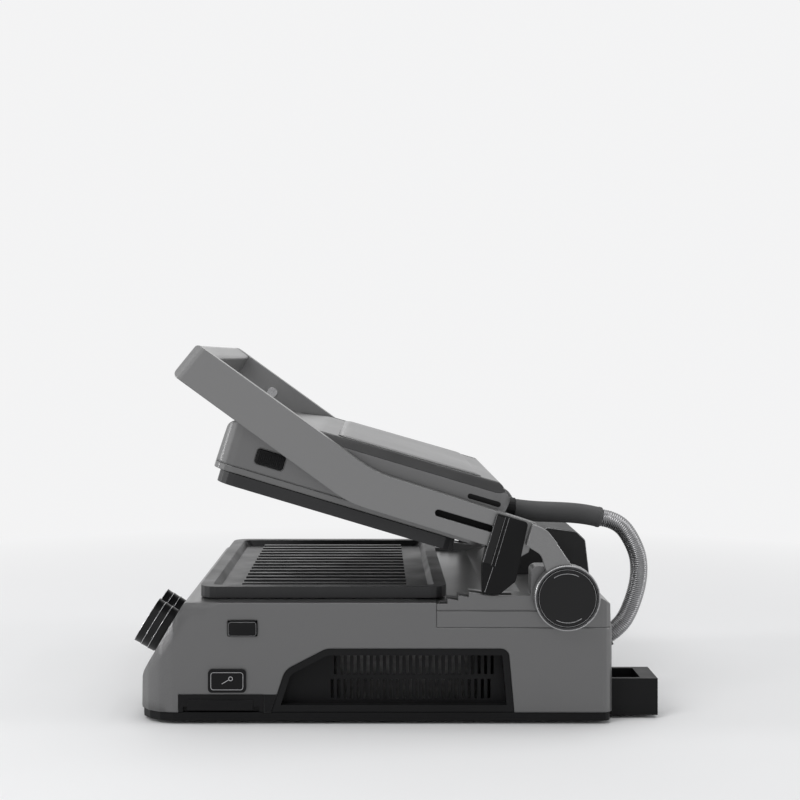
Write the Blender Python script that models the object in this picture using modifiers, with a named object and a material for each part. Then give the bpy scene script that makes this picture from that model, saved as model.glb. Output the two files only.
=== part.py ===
"""Smokeless indoor contact grill: a base with a smoke fan, and a hinged lid in a floating yoke.

Metres, +Z up. The front, with the knobs and the handle, faces -Y, and the hinge is at +Y. The origin is on the
table, under the middle of the whole grill.
"""

import math

import bmesh
import bpy
from mathutils import Matrix, Vector

# Fits and small common values
GAP = 0.0003
OVERRUN = 0.004
SIDES = 24
HUB_SIDES = 36
ARC_STEPS = 4
CURVE_STEPS = 24
WELD_DISTANCE = 1e-6
FLAT_ANGLE = math.radians(0.1)
SHARP_ANGLE = math.radians(35)

# Widths across the grill, from the plates out to the hubs
PLATE_HALF_WIDTH = 0.150
LID_SIDE_STEP = 0.0015
LID_SIDE_CLEARANCE = 0.0025
ARM_WIDTH = 0.014
NECK_WIDTH = 0.0095
HUB_PROUD = 0.0035
LID_HALF_WIDTH = PLATE_HALF_WIDTH - LID_SIDE_STEP
ARM_INNER_FACE = LID_HALF_WIDTH + LID_SIDE_CLEARANCE
ARM_FACE = ARM_INNER_FACE + ARM_WIDTH
BASE_HALF_WIDTH = ARM_FACE
ARM_OUTER_FACE = BASE_HALF_WIDTH + NECK_WIDTH
HUB_FACE = ARM_OUTER_FACE + HUB_PROUD

# Base housing
BASE_REAR = 0.1775
BASE_TOP = 0.0992
REAR_LEAN = 0.0021
SHELL_WALL = 0.003
FRONT_FOOT = -0.2124
FRONT_KNEE = -0.2103
FRONT_KNEE_HEIGHT = 0.038
FRONT_TOP = -0.1735
FRONT_CORNER_RADIUS = 0.030
REAR_CORNER_RADIUS = 0.009
EDGE_RADIUS = 0.005
SKIRT_TOP = 0.0098
PAN_BOTTOM = 0.0026
PAN_INSET = 0.0015
FOOT_RADIUS = 0.011
FOOT_INSET = 0.034
FOOT_TAPER_SHARE = 0.92

# Side arch and its grille
ARCH_FRONT = -0.1022
ARCH_REAR = 0.0966
ARCH_TOP = 0.0619
ARCH_SLOPE_RUN = 0.045
ARCH_CORNER_RADIUS = 0.014
ARCH_BEND_SHARE = 0.62
ARCH_BAND = 0.0057
ARCH_DEPTH = 0.013
GRILLE_WALL = 0.0024
GRILLE_FRONT = -0.0540
SLOT_PITCH = 0.0054
SLOT_WIDTH = 0.0026
SLOT_ROWS = 2
SLOT_BRIDGE = 0.004

# Hinge line and lid stance
HUB_Y = 0.1383
HUB_Z = 0.105
REST_ANGLE = math.radians(16.6)
HUB_RADIUS = 0.02665
HUB_RING_WALL = 0.0027
HUB_BUTTON_TRAVEL = 0.003
HUB_FLOOR = 0.0035
SHAFT_RADIUS = 0.006
SHAFT_LENGTH = 0.020
SPRING_WIRE = 0.0004
SPRING_TURNS = 2
SPRING_STEPS = 12
SPRING_SHARE = 0.55

# Rear deck
DECK_FRONT = 0.0332
DECK_BOTTOM = 0.0791
DECK_FRONT_TOP = 0.0984
DECK_TOP = 0.1051
DECK_REAR_SHOULDER = 0.0115
DECK_WALL = 0.0035
DECK_SEAM = 0.0927
SEAM_WIDTH = 0.001
SEAM_DEPTH = 0.0008
TOOTH_START = 0.0419
TOOTH_PITCH = 0.0087
TOOTH_RISE = 0.0041
TOOTH_FALL = 0.0014
TEETH = 3
CHANNEL_WIDTH = 0.0105

# Lower plate and its heater
PLATE_FRONT = -0.163
PLATE_REAR = 0.0423
PLATE_RIM_TOP = 0.110
PLATE_CORNER_RADIUS = 0.014
PLATE_FLOOR = 0.004
PLATE_RIM_WALL = 0.0105
PLATE_RIM_FALL = 0.004
DISH_CORNER_RADIUS = 0.005
CHANNEL_RUN = 0.033
DRAIN_RADIUS = 0.003
RIDGE_HEIGHT = 0.0035
RIDGE_WIDTH = 0.0070
RIDGE_PITCH = 0.0180
RIDGE_SIDE_MARGIN = 0.016
HEATER_RADIUS = 0.0033
HEATER_LOOPS = 3
HEATER_MARGIN = 0.034
REFLECTOR_WALL = 0.0008
REFLECTOR_DEPTH = 0.014
WELL_MARGIN = 0.012

# Smoke tower, filter and fan
TOWER_HALF_WIDTH = 0.054
TOWER_WALL = 0.0025
TOWER_FRONT = 0.110
FAN_RADIUS = 0.036
FAN_HEIGHT = 0.024
FAN_DISC = 0.0016
FAN_INLET_SHARE = 0.8
FAN_HUB_SHARE = 0.2
FAN_HUB_HEIGHT_SHARE = 0.6
BLADE_PLACE_SHARE = 0.8
BLADE_CHORD_SHARE = 0.34
BLADE_SWEEP = math.radians(35)
FAN_BLADES = 16
FAN_Y = 0.118
FAN_BOTTOM = 0.044
SCROLL_CLEARANCE = 0.004
SCROLL_WALL = 0.0022
MOTOR_RADIUS = 0.017
MOTOR_HEIGHT = 0.018

# Controls on the front and the side
KNOB_RADIUS = 0.0203
KNOB_DEPTH = 0.0203
KNOB_BANDS = 3
KNOB_BAND_STEP = 0.0063
KNOB_BAND_SET_BACK = 0.0006
KNOB_EDGE = 0.0008
KNOB_COLLAR_SHARE = 0.94
KNOB_BORE_SHARE = 0.6
KNOB_INSET = 0.035
KNOB_SPACING = 0.046
KNOB_SLOPE_SHARE = 0.508
ENCODER_RADIUS = 0.0035
ENCODER_BODY = 0.008
BOARD_SLOPE_SHARE = 0.52
BOARD_LENGTH = 0.074
BOARD_WIDTH = 0.028
BOARD_THICKNESS = 0.0016
RELEASE_LENGTH = 0.0237
RELEASE_HEIGHT = 0.0123
RELEASE_PROUD = 0.0035
RELEASE_STEM = 0.009
LOWER_RELEASE_Y = -0.1255
LOWER_RELEASE_Z = 0.0784
COVER_LENGTH = 0.031
COVER_HEIGHT = 0.0188
COVER_THICKNESS = 0.0022
COVER_Y = -0.138
COVER_Z = 0.0358
DRAWER_FRONT = -0.1781
DRAWER_REAR = -0.108
DRAWER_TOP = 0.0245
DRAWER_LENGTH = 0.090
DRAWER_WALL = 0.0018
DRAWER_PULL_SHARE = 0.3

# Drip tray and conduit socket at the rear
TRAY_HALF_WIDTH = 0.0215
TRAY_INSET = 0.0415
TRAY_X = BASE_HALF_WIDTH - TRAY_INSET
TRAY_TOP = 0.0329
TRAY_BOTTOM = 0.0026
TRAY_REACH = 0.0402
TRAY_REAR = BASE_REAR + TRAY_REACH
TRAY_DEPTH_INSIDE = 0.034
TRAY_WALL = 0.002
TRAY_LIP = 0.014

# Yoke arms, in the closed frame: distance in front of the hinge line, and height over it
NECK_REACH = 0.0437
NECK_START = 0.039
SLOT_LENGTH_FRONT = 0.1217
SLOT_REAR = 0.052
SLOT_HEIGHT = 0.0351
ARM_SLOT_WIDTH = 0.0057
HANDLE_FRONT_TOP = (0.3481, 0.1116)
HANDLE_FRONT_BOTTOM = (0.3605, 0.0815)
HANDLE_DEPTH = 0.034
HANDLE_TOP_SLOPE_SHARE = 0.4
HANDLE_BOTTOM_SHARE = 1.2
HANDLE_BOTTOM_SLOPE_SHARE = 0.35
YOKE_CORNER_RADIUS = 0.010
SLIDER_FRONT = 0.0732
SLIDER_REAR = 0.0467
SLIDER_TOP = 0.0487
SLIDER_WALL = 0.0035
SLIDER_FOOT = -0.0175
SLIDER_LEG = 0.0085

# Lid, in the closed frame
LID_FRONT = 0.3082
LID_REAR = 0.0615
LID_SEAM = 0.022
LID_SIDE_TOP = 0.063
LID_TOP = 0.0715
LID_WALL = 0.0025
LID_RIM_BOTTOM = 0.0167
UPPER_PLATE_BOTTOM = 0.0063
UPPER_PLATE_STEP = 0.0062
UPPER_PLATE_FRONT = LID_FRONT - UPPER_PLATE_STEP
UPPER_PLATE_REAR = 0.0972
LID_PIVOT_FRONT = 0.085
LID_PIVOT_HEIGHT = 0.036
LID_PIVOT_RADIUS = 0.0035


def clear_scene():
    for old in list(bpy.data.objects):
        bpy.data.objects.remove(old, do_unlink=True)


def new_collection(name):
    collection = bpy.data.collections.new(name)
    bpy.context.scene.collection.children.link(collection)
    return collection


def new_material(name, colour, roughness, metallic=0.0):
    material = bpy.data.materials.new(name)
    material.use_nodes = True
    shader = material.node_tree.nodes["Principled BSDF"]
    shader.inputs["Base Color"].default_value = (*colour, 1.0)
    shader.inputs["Roughness"].default_value = roughness
    shader.inputs["Metallic"].default_value = metallic
    material.diffuse_color = (*colour, 1.0)
    return material


clear_scene()
PARTS = new_collection("smokeless_indoor_grill")
CUTTERS = new_collection("cutters")
GREY_METAL = new_material("grey_metal", (0.15, 0.15, 0.15), 0.42, 0.7)
PALE_METAL = new_material("pale_metal", (0.27, 0.27, 0.27), 0.38, 0.7)
BLACK_PLASTIC = new_material("black_plastic", (0.012, 0.012, 0.012), 0.45)
NONSTICK = new_material("nonstick", (0.02, 0.02, 0.022), 0.5)
STEEL = new_material("steel", (0.6, 0.6, 0.6), 0.3, 1.0)
RUBBER = new_material("rubber", (0.01, 0.01, 0.01), 0.8)
BOARD_GREEN = new_material("board_green", (0.02, 0.12, 0.04), 0.5)


def add_mesh(name, mesh, on=None):
    """A helper object: it stays a cutter until piece() makes it a part."""
    thing = bpy.data.objects.new(name, mesh)
    CUTTERS.objects.link(thing)
    thing.hide_render = True
    thing.display_type = "WIRE"
    thing.parent = on
    if on is not None and on.parent is not None:
        thing.location = -on.location
    return thing


def piece(thing, name, material):
    """Turns a helper object into a named part."""
    thing.name = name
    thing.data.name = name
    CUTTERS.objects.unlink(thing)
    PARTS.objects.link(thing)
    thing.hide_render = False
    thing.display_type = "SOLID"
    thing.data.materials.clear()
    thing.data.materials.append(material)
    thing.data.shade_smooth()
    thing.data.set_sharp_from_angle(angle=SHARP_ANGLE)
    return thing


def box(low, high, on=None, name="box"):
    """A box from its lowest to its highest corner."""
    work = bmesh.new()
    low, high = Vector(low), Vector(high)
    size = Matrix.Diagonal((*(high - low), 1.0))
    bmesh.ops.create_cube(work, size=1.0, matrix=Matrix.Translation((low + high) / 2) @ size)
    return from_bmesh(work, name, on)


def boxes(corner_pairs, on=None, name="boxes"):
    """Several separate boxes in one helper, for cutting a row of slots."""
    work = bmesh.new()
    for low, high in corner_pairs:
        low, high = Vector(low), Vector(high)
        size = Matrix.Diagonal((*(high - low), 1.0))
        bmesh.ops.create_cube(work, size=1.0, matrix=Matrix.Translation((low + high) / 2) @ size)
    return from_bmesh(work, name, on)


def from_bmesh(work, name, on):
    mesh = bpy.data.meshes.new(name)
    work.to_mesh(mesh)
    work.free()
    return add_mesh(name, mesh, on)


AXIS_TURNS = {
    "X": Matrix.Rotation(math.pi / 2, 4, "Y"),
    "Y": Matrix.Rotation(-math.pi / 2, 4, "X"),
    "Z": Matrix.Identity(4),
}


def rod(start, axis, length, radius, on=None, end_radius=None, sides=SIDES, tilt=None):
    """A cylinder or cone from its start point along +X, +Y or +Z, or along a tilted direction."""
    work = bmesh.new()
    turn = AXIS_TURNS[axis] if tilt is None else tilt.to_matrix().to_4x4()
    place = Matrix.Translation(start) @ turn @ Matrix.Translation((0, 0, length / 2))
    bmesh.ops.create_cone(
        work,
        cap_ends=True,
        segments=sides,
        radius1=radius,
        radius2=radius if end_radius is None else end_radius,
        depth=length,
        matrix=place,
    )
    return from_bmesh(work, "rod", on)


def rounded(corners):
    """The points of an outline whose corners (u, v, radius) are filleted."""
    points = []
    for number, corner in enumerate(corners):
        here = Vector(corner[:2])
        radius = corner[2] if len(corner) > 2 else 0.0
        if radius <= 0:
            points.append(here)
            continue
        before = (Vector(corners[number - 1][:2]) - here).normalized()
        after = (Vector(corners[(number + 1) % len(corners)][:2]) - here).normalized()
        half = before.angle(after) / 2
        reach = radius / math.tan(half)
        centre = here + (before + after).normalized() * (radius / math.sin(half))
        first = here + before * reach - centre
        last = here + after * reach - centre
        sweep = first.angle_signed(last)
        for step in range(ARC_STEPS + 1):
            angle = -sweep * step / ARC_STEPS
            points.append(centre + Matrix.Rotation(angle, 2) @ first)
    return points


def inset(corners, distance):
    """The outline moved inward by one distance on every side, with its fillets kept concentric."""
    flat = [Vector(corner[:2]) for corner in corners]
    area = sum(a.x * b.y - b.x * a.y for a, b in zip(flat, flat[1:] + flat[:1]))
    turn = 1.0 if area > 0 else -1.0
    moved = []
    for number, here in enumerate(flat):
        before = (here - flat[number - 1]).normalized()
        after = (flat[(number + 1) % len(flat)] - here).normalized()
        normal_before = Vector((-before.y, before.x)) * turn
        normal_after = Vector((-after.y, after.x)) * turn
        bisector = (normal_before + normal_after).normalized()
        shift = bisector * (distance / bisector.dot(normal_before))
        radius = corners[number][2] if len(corners[number]) > 2 else 0.0
        convex = before.x * after.y - before.y * after.x
        grown = radius - distance if convex * turn > 0 else radius + distance
        moved.append((here.x + shift.x, here.y + shift.y, max(grown, 0.0) if radius else 0.0))
    return moved


PLANES = {
    "side": Matrix(((0, 0, 1), (1, 0, 0), (0, 1, 0))),
    "top": Matrix.Identity(3),
    "front": Matrix(((1, 0, 0), (0, 0, -1), (0, 1, 0))),
}


def prism(plane, corners, low, high, on=None, place=None):
    """A flat outline with filleted corners, given thickness across its plane.

    A side outline holds (y, z) and runs from low to high along X, a top outline holds (x, y) and runs along Z,
    and a front outline holds (x, z) and runs along Y.
    """
    curve = bpy.data.curves.new("outline", "CURVE")
    curve.dimensions = "2D"
    curve.fill_mode = "BOTH"
    curve.extrude = abs(high - low) / 2
    points = rounded(corners)
    spline = curve.splines.new("POLY")
    spline.points.add(len(points) - 1)
    for vertex, point in zip(spline.points, points):
        vertex.co = (*point, 0.0, 1.0)
    spline.use_cyclic_u = True
    guide = bpy.data.objects.new("outline", curve)
    CUTTERS.objects.link(guide)
    turn = PLANES[plane].to_4x4()
    middle = (low + high) / 2
    offset = Vector((0, 0, -middle if plane == "front" else middle))
    guide.matrix_world = (place or Matrix.Identity(4)) @ turn @ Matrix.Translation(offset)
    return welded_mesh(guide, on)


def welded_mesh(guide, on=None):
    """A curve made a mesh in its own place, with its caps sewn to its sides."""
    bpy.context.view_layer.update()
    graph = bpy.context.evaluated_depsgraph_get()
    mesh = bpy.data.meshes.new_from_object(guide.evaluated_get(graph))
    mesh.transform(guide.matrix_world)
    work = bmesh.new()
    work.from_mesh(mesh)
    bmesh.ops.remove_doubles(work, verts=work.verts, dist=WELD_DISTANCE)
    bmesh.ops.dissolve_limit(work, angle_limit=FLAT_ANGLE, verts=work.verts, edges=work.edges)
    bmesh.ops.recalc_face_normals(work, faces=work.faces)
    work.to_mesh(mesh)
    work.free()
    bpy.data.objects.remove(guide, do_unlink=True)
    return add_mesh("solid", mesh, on)


def tube(points, radius, on=None, resolution=2):
    """A round tube with closed ends along the points."""
    curve = bpy.data.curves.new("tube", "CURVE")
    curve.dimensions = "3D"
    curve.bevel_depth = radius
    curve.bevel_resolution = resolution
    curve.use_fill_caps = True
    spline = curve.splines.new("POLY")
    spline.points.add(len(points) - 1)
    for vertex, point in zip(spline.points, points):
        vertex.co = (*point, 1.0)
    guide = bpy.data.objects.new("tube", curve)
    CUTTERS.objects.link(guide)
    return welded_mesh(guide, on)


def combine(target, other, operation):
    modifier = target.modifiers.new(operation.lower(), "BOOLEAN")
    modifier.operation = operation
    modifier.solver = target.get("solver", "EXACT")
    modifier.object = other
    return target


def closed_solver(target):
    """For a body on which the exact solver leaves open edges: all its operands are closed."""
    target["solver"] = "MANIFOLD"
    return target


def cut(target, *others):
    for other in others:
        combine(target, other, "DIFFERENCE")
    return target


def join(target, *others):
    for other in others:
        combine(target, other, "UNION")
    return target


def meet(target, other):
    return combine(target, other, "INTERSECT")


def rectangle(u_low, u_high, v_low, v_high, radius=0.0):
    return [
        (u_low, v_low, radius),
        (u_high, v_low, radius),
        (u_high, v_high, radius),
        (u_low, v_high, radius),
    ]


# The base housing's outlines, which its inner space and its neighbours follow
REAR_AT_TOP = BASE_REAR - REAR_LEAN
BASE_SIDE = [
    (FRONT_FOOT, SKIRT_TOP),
    (FRONT_KNEE, FRONT_KNEE_HEIGHT, FRONT_CORNER_RADIUS),
    (FRONT_TOP, BASE_TOP, EDGE_RADIUS),
    (DECK_FRONT - GAP, BASE_TOP),
    (DECK_FRONT - GAP, DECK_BOTTOM - GAP),
    (BASE_REAR, DECK_BOTTOM - GAP),
    (BASE_REAR, SKIRT_TOP),
]


def base_plan(margin=0.0):
    half = BASE_HALF_WIDTH - margin
    front, rear = FRONT_FOOT + margin, BASE_REAR - margin
    return [
        (-half, front, FRONT_CORNER_RADIUS - margin),
        (half, front, FRONT_CORNER_RADIUS - margin),
        (half, rear, REAR_CORNER_RADIUS - margin),
        (-half, rear, REAR_CORNER_RADIUS - margin),
    ]


def arch_outline(drop=0.0):
    """The side arch, from the skirt up; a drop carries its feet straight down past the skirt."""
    feet = [(ARCH_FRONT, SKIRT_TOP - drop), (ARCH_REAR, SKIRT_TOP - drop)] if drop else []
    return feet + [
        (ARCH_REAR, SKIRT_TOP),
        (ARCH_REAR - ARCH_CORNER_RADIUS / 3, ARCH_TOP, ARCH_CORNER_RADIUS / 2),
        (ARCH_FRONT + ARCH_SLOPE_RUN, ARCH_TOP, ARCH_CORNER_RADIUS),
        (ARCH_FRONT + ARCH_SLOPE_RUN / 4, (ARCH_TOP + SKIRT_TOP) * ARCH_BEND_SHARE, ARCH_CORNER_RADIUS),
        (ARCH_FRONT, SKIRT_TOP),
    ]


def sided(side, low, high):
    """A stretch of X mirrored to the side given by +1 or -1."""
    return (low, high) if side > 0 else (-high, -low)


WELL_HALF_WIDTH = PLATE_HALF_WIDTH - WELL_MARGIN
WELL_FRONT = PLATE_FRONT + WELL_MARGIN
WELL_REAR = PLATE_REAR - WELL_MARGIN - WELL_MARGIN / 2
TRAY_INNER_TOP = TRAY_TOP - TRAY_WALL
TRAY_NECK_BOTTOM = SKIRT_TOP + TRAY_WALL
SLOPE = (Vector((FRONT_TOP, BASE_TOP)) - Vector((FRONT_KNEE, FRONT_KNEE_HEIGHT))).normalized()
SLOPE_OUT = Vector((-SLOPE.y, SLOPE.x))
SLOPE_LENGTH = (Vector((FRONT_TOP, BASE_TOP)) - Vector((FRONT_KNEE, FRONT_KNEE_HEIGHT))).length


def on_slope(along_share, proud):
    """The (y, z) of a point on the sloping front, raised square to it."""
    base = Vector((FRONT_KNEE, FRONT_KNEE_HEIGHT)) + SLOPE * (SLOPE_LENGTH * along_share)
    return base + SLOPE_OUT * proud


def slope_tilt():
    """Turns +Z to point out of the sloping front."""
    return Vector((0, SLOPE_OUT.x, SLOPE_OUT.y)).to_track_quat("Z", "X")


def knob_places():
    return [BASE_HALF_WIDTH - KNOB_INSET - KNOB_SPACING * number for number in range(2)]


def make_base_housing():
    shell = prism("side", BASE_SIDE, -BASE_HALF_WIDTH, BASE_HALF_WIDTH)
    meet(shell, prism("top", base_plan(), SKIRT_TOP - OVERRUN, BASE_TOP + OVERRUN))
    inner_half = BASE_HALF_WIDTH - SHELL_WALL
    hollow = inset(BASE_SIDE, SHELL_WALL)
    hollow[0] = (hollow[0][0], SKIRT_TOP - OVERRUN)
    hollow[-1] = (hollow[-1][0], SKIRT_TOP - OVERRUN)
    inner = prism("side", hollow, -inner_half, inner_half)
    meet(inner, prism("top", base_plan(SHELL_WALL), -OVERRUN, BASE_TOP))
    cut(shell, inner)
    well = rectangle(-WELL_HALF_WIDTH, WELL_HALF_WIDTH, WELL_FRONT, WELL_REAR, PLATE_CORNER_RADIUS)
    cut(shell, prism("top", well, BASE_TOP - SHELL_WALL - OVERRUN, BASE_TOP + OVERRUN))
    inlet_start = (0, FAN_Y, DECK_BOTTOM - SHELL_WALL - OVERRUN)
    cut(shell, rod(inlet_start, "Z", SHELL_WALL + OVERRUN * 2, FAN_RADIUS * FAN_INLET_SHARE))
    reach = BASE_HALF_WIDTH + OVERRUN
    cut(shell, prism("side", arch_outline(OVERRUN), -reach, reach))
    for side_x in knob_places():
        start = on_slope(KNOB_SLOPE_SHARE, -SHELL_WALL - OVERRUN)
        hole = rod((side_x, *start), "Z", SHELL_WALL + OVERRUN * 2, ENCODER_RADIUS + GAP, tilt=slope_tilt())
        cut(shell, hole)
    cut(shell, release_hole(), drawer_opening(), tray_opening(), shaft_holes(), socket_hole(), probe_hole())
    return piece(shell, "base_housing", GREY_METAL)


def release_hole():
    stem_y, stem_z = RELEASE_LENGTH / 2 + GAP, RELEASE_HEIGHT / 2 + GAP
    return box(
        (BASE_HALF_WIDTH - SHELL_WALL - OVERRUN, LOWER_RELEASE_Y - stem_y, LOWER_RELEASE_Z - stem_z),
        (BASE_HALF_WIDTH + OVERRUN, LOWER_RELEASE_Y + stem_y, LOWER_RELEASE_Z + stem_z),
    )


def drawer_opening():
    return box(
        (BASE_HALF_WIDTH - SHELL_WALL - OVERRUN, DRAWER_FRONT, SKIRT_TOP - OVERRUN),
        (BASE_HALF_WIDTH + OVERRUN, DRAWER_REAR, DRAWER_TOP),
    )


def tray_opening():
    half = TRAY_HALF_WIDTH - TRAY_WALL
    return box(
        (TRAY_X - half, BASE_REAR - SHELL_WALL - OVERRUN, TRAY_NECK_BOTTOM),
        (TRAY_X + half, BASE_REAR + OVERRUN, TRAY_INNER_TOP),
    )


def shaft_holes():
    reach = BASE_HALF_WIDTH + OVERRUN
    return rod((-reach, HUB_Y, HUB_Z), "X", reach * 2, SHAFT_RADIUS + GAP)


SOCKET_INSET = 0.070
SOCKET_X = BASE_HALF_WIDTH - SOCKET_INSET
SOCKET_Z = 0.0545
SOCKET_RADIUS = 0.0095
SOCKET_LENGTH = 0.008
SOCKET_TILT = math.radians(35)
SPIGOT_SHARE = 0.7


def socket_hole():
    start = (SOCKET_X, BASE_REAR - SHELL_WALL - OVERRUN, SOCKET_Z)
    return rod(start, "Y", SHELL_WALL + OVERRUN * 2, SOCKET_RADIUS * SPIGOT_SHARE + GAP)


def probe_hole():
    start = (BASE_HALF_WIDTH - SHELL_WALL - OVERRUN, COVER_Y, COVER_Z)
    return rod(start, "X", SHELL_WALL + OVERRUN * 2, PROBE_SOCKET_RADIUS + GAP)


def make_base_pan():
    floor_top = PAN_BOTTOM + SHELL_WALL
    pan = prism("top", base_plan(PAN_INSET), PAN_BOTTOM, SKIRT_TOP - GAP)
    cut(pan, prism("top", base_plan(PAN_INSET + SHELL_WALL), floor_top, SKIRT_TOP + OVERRUN))
    pedestal_height = MOTOR_TOP - MOTOR_HEIGHT - GAP - floor_top + GAP
    pedestal = rod((0, FAN_Y, floor_top - GAP), "Z", pedestal_height, MOTOR_RADIUS + SHELL_WALL)
    join(pan, pedestal)
    return piece(pan, "base_pan", BLACK_PLASTIC)


def make_feet():
    for across in (-1, 1):
        for along in (-1, 1):
            x = across * (BASE_HALF_WIDTH - FOOT_INSET)
            y = FRONT_FOOT + FOOT_INSET if along < 0 else BASE_REAR - FOOT_INSET
            foot = rod((x, y, 0), "Z", PAN_BOTTOM - GAP, FOOT_RADIUS * FOOT_TAPER_SHARE, end_radius=FOOT_RADIUS)
            where = ("rear" if along > 0 else "front") + ("_right" if across > 0 else "_left")
            piece(foot, "foot_" + where, RUBBER)


def make_side_grilles():
    for side, where in ((1, "right"), (-1, "left")):
        face = BASE_HALF_WIDTH - GAP * 2
        back = face - ARCH_DEPTH - GRILLE_WALL
        bottom = SKIRT_TOP + GAP
        panel = prism("side", inset(arch_outline(), GAP), *sided(side, back, face))
        hollow = inset(arch_outline(), ARCH_BAND)
        cut(panel, prism("side", hollow, *sided(side, face - ARCH_DEPTH, face + OVERRUN)))
        slot_reach = sided(side, back - OVERRUN, face - ARCH_DEPTH + OVERRUN)
        low = bottom + ARCH_BAND + SLOT_BRIDGE / 2
        high = ARCH_TOP - ARCH_BAND - SLOT_BRIDGE / 2
        row = (high - low - SLOT_BRIDGE * (SLOT_ROWS - 1)) / SLOT_ROWS
        end = ARCH_REAR - ARCH_BAND - ARCH_CORNER_RADIUS / 2
        slots = []
        for number in range(int((end - GRILLE_FRONT) / SLOT_PITCH)):
            for level in range(SLOT_ROWS):
                y = GRILLE_FRONT + (number + 0.5 * (level % 2)) * SLOT_PITCH
                z = low + level * (row + SLOT_BRIDGE)
                slots.append(((slot_reach[0], y, z), (slot_reach[1], y + SLOT_WIDTH, z + row)))
        cut(panel, boxes(slots))
        piece(panel, "side_grille_" + where, BLACK_PLASTIC)


TOWER_TOP_FRONT = 0.142
CHANNEL_OUTER = ARM_INNER_FACE + CHANNEL_WIDTH


def deck_outline():
    """The deck cover from the side: a toothed front, a level top and a chamfered rear."""
    outline = [(DECK_FRONT, DECK_BOTTOM), (DECK_FRONT, DECK_FRONT_TOP)]
    height = DECK_FRONT_TOP
    for tooth in range(TEETH):
        y = TOOTH_START + tooth * TOOTH_PITCH
        outline += [(y, height), (y, height + TOOTH_RISE)]
        height += TOOTH_RISE - TOOTH_FALL
    y = TOOTH_START + TEETH * TOOTH_PITCH
    outline += [(y, height), (y + TOOTH_PITCH, DECK_TOP)]
    outline += [
        (REAR_AT_TOP - DECK_REAR_SHOULDER, DECK_TOP, EDGE_RADIUS),
        (REAR_AT_TOP, DECK_FRONT_TOP, EDGE_RADIUS / 2),
        (REAR_AT_TOP + REAR_LEAN / 4, DECK_BOTTOM),
    ]
    return outline[::-1]


def ear_outline():
    """The raised ear that holds the hinge shaft."""
    return [
        (HUB_Y - EAR_HALF_LENGTH, DECK_TOP - DECK_WALL),
        (HUB_Y + EAR_HALF_LENGTH * EAR_FOOT_SHARE, DECK_TOP - DECK_WALL),
        (HUB_Y + EAR_HALF_LENGTH * EAR_BACK_SHARE, HUB_Z + EAR_HEIGHT * EAR_SHOULDER_SHARE, EDGE_RADIUS),
        (HUB_Y - EAR_HALF_LENGTH * EAR_CREST_SHARE, HUB_Z + EAR_HEIGHT, EDGE_RADIUS),
        (HUB_Y - EAR_HALF_LENGTH, HUB_Z + EAR_HEIGHT, EDGE_RADIUS),
    ]


EAR_HALF_LENGTH = 0.028
EAR_HEIGHT = 0.024
EAR_FOOT_SHARE = 0.9
EAR_BACK_SHARE = 0.7
EAR_SHOULDER_SHARE = 0.55
EAR_CREST_SHARE = 0.3


def make_rear_deck():
    deck = closed_solver(prism("side", deck_outline(), -BASE_HALF_WIDTH, BASE_HALF_WIDTH))
    meet(deck, prism("top", base_plan(), DECK_BOTTOM - OVERRUN, DECK_TOP + TOOTH_RISE + OVERRUN))
    inner_half = ARM_INNER_FACE - DECK_WALL * 2
    cavity = [
        (DECK_FRONT + DECK_WALL, DECK_BOTTOM - OVERRUN),
        (DECK_FRONT + DECK_WALL, DECK_FRONT_TOP - DECK_WALL),
        (REAR_AT_TOP - DECK_WALL * 2, DECK_FRONT_TOP - DECK_WALL),
        (REAR_AT_TOP - DECK_WALL * 2, DECK_BOTTOM - OVERRUN),
    ]
    cut(deck, prism("side", cavity, -inner_half, inner_half))
    fall = [
        (DECK_FRONT - OVERRUN, DECK_FRONT_TOP),
        (HUB_Y - LID_REAR, DECK_FRONT_TOP),
        (TOWER_FRONT - DECK_WALL * 2, DECK_TOP),
        (TOWER_FRONT - DECK_WALL * 2, DECK_TOP + OVERRUN),
        (DECK_FRONT - OVERRUN, DECK_TOP + OVERRUN * 2),
    ]
    cut(deck, prism("side", fall, -inner_half, inner_half))
    for side in (1, -1):
        low, high = sided(side, ARM_INNER_FACE - GAP, CHANNEL_OUTER)
        channel = box(
            (low, DECK_FRONT + DECK_WALL - GAP * 3, DECK_BOTTOM + DECK_WALL),
            (high, HUB_Y - SLIDER_REAR + DECK_WALL, DECK_TOP + OVERRUN * 2),
        )
        cut(deck, channel)
        low, high = sided(side, inner_half, BASE_HALF_WIDTH - GAP)
        join(deck, prism("side", ear_outline(), low, high))
        low, high = sided(side, BASE_HALF_WIDTH - SEAM_DEPTH, BASE_HALF_WIDTH + OVERRUN)
        seam_low = (low, DECK_FRONT - OVERRUN, DECK_SEAM - SEAM_WIDTH / 2)
        cut(deck, box(seam_low, (high, HUB_Y - HUB_RADIUS / 2, DECK_SEAM + SEAM_WIDTH / 2)))
    mouth_rear = HUB_Y + TOWER_BACK * TOWER_MOUTH_SHARE
    mouth = rectangle(-TOWER_HALF_WIDTH, TOWER_HALF_WIDTH, TOWER_FRONT, mouth_rear, EDGE_RADIUS)
    grown = inset(mouth, TOWER_WALL * 2)
    cut(deck, prism("top", grown, DECK_BOTTOM - OVERRUN, DECK_TOP + OVERRUN), shaft_holes())
    return piece(deck, "rear_deck", GREY_METAL)


TOWER_TOP = 0.147
TOWER_SHOULDER_DROP = 0.0035
TOWER_SHOULDER_BACK = 0.025
TOWER_BACK_DROP = 0.011
TOWER_BACK = 0.0365
TOWER_MOUTH_SHARE = 0.8


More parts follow.
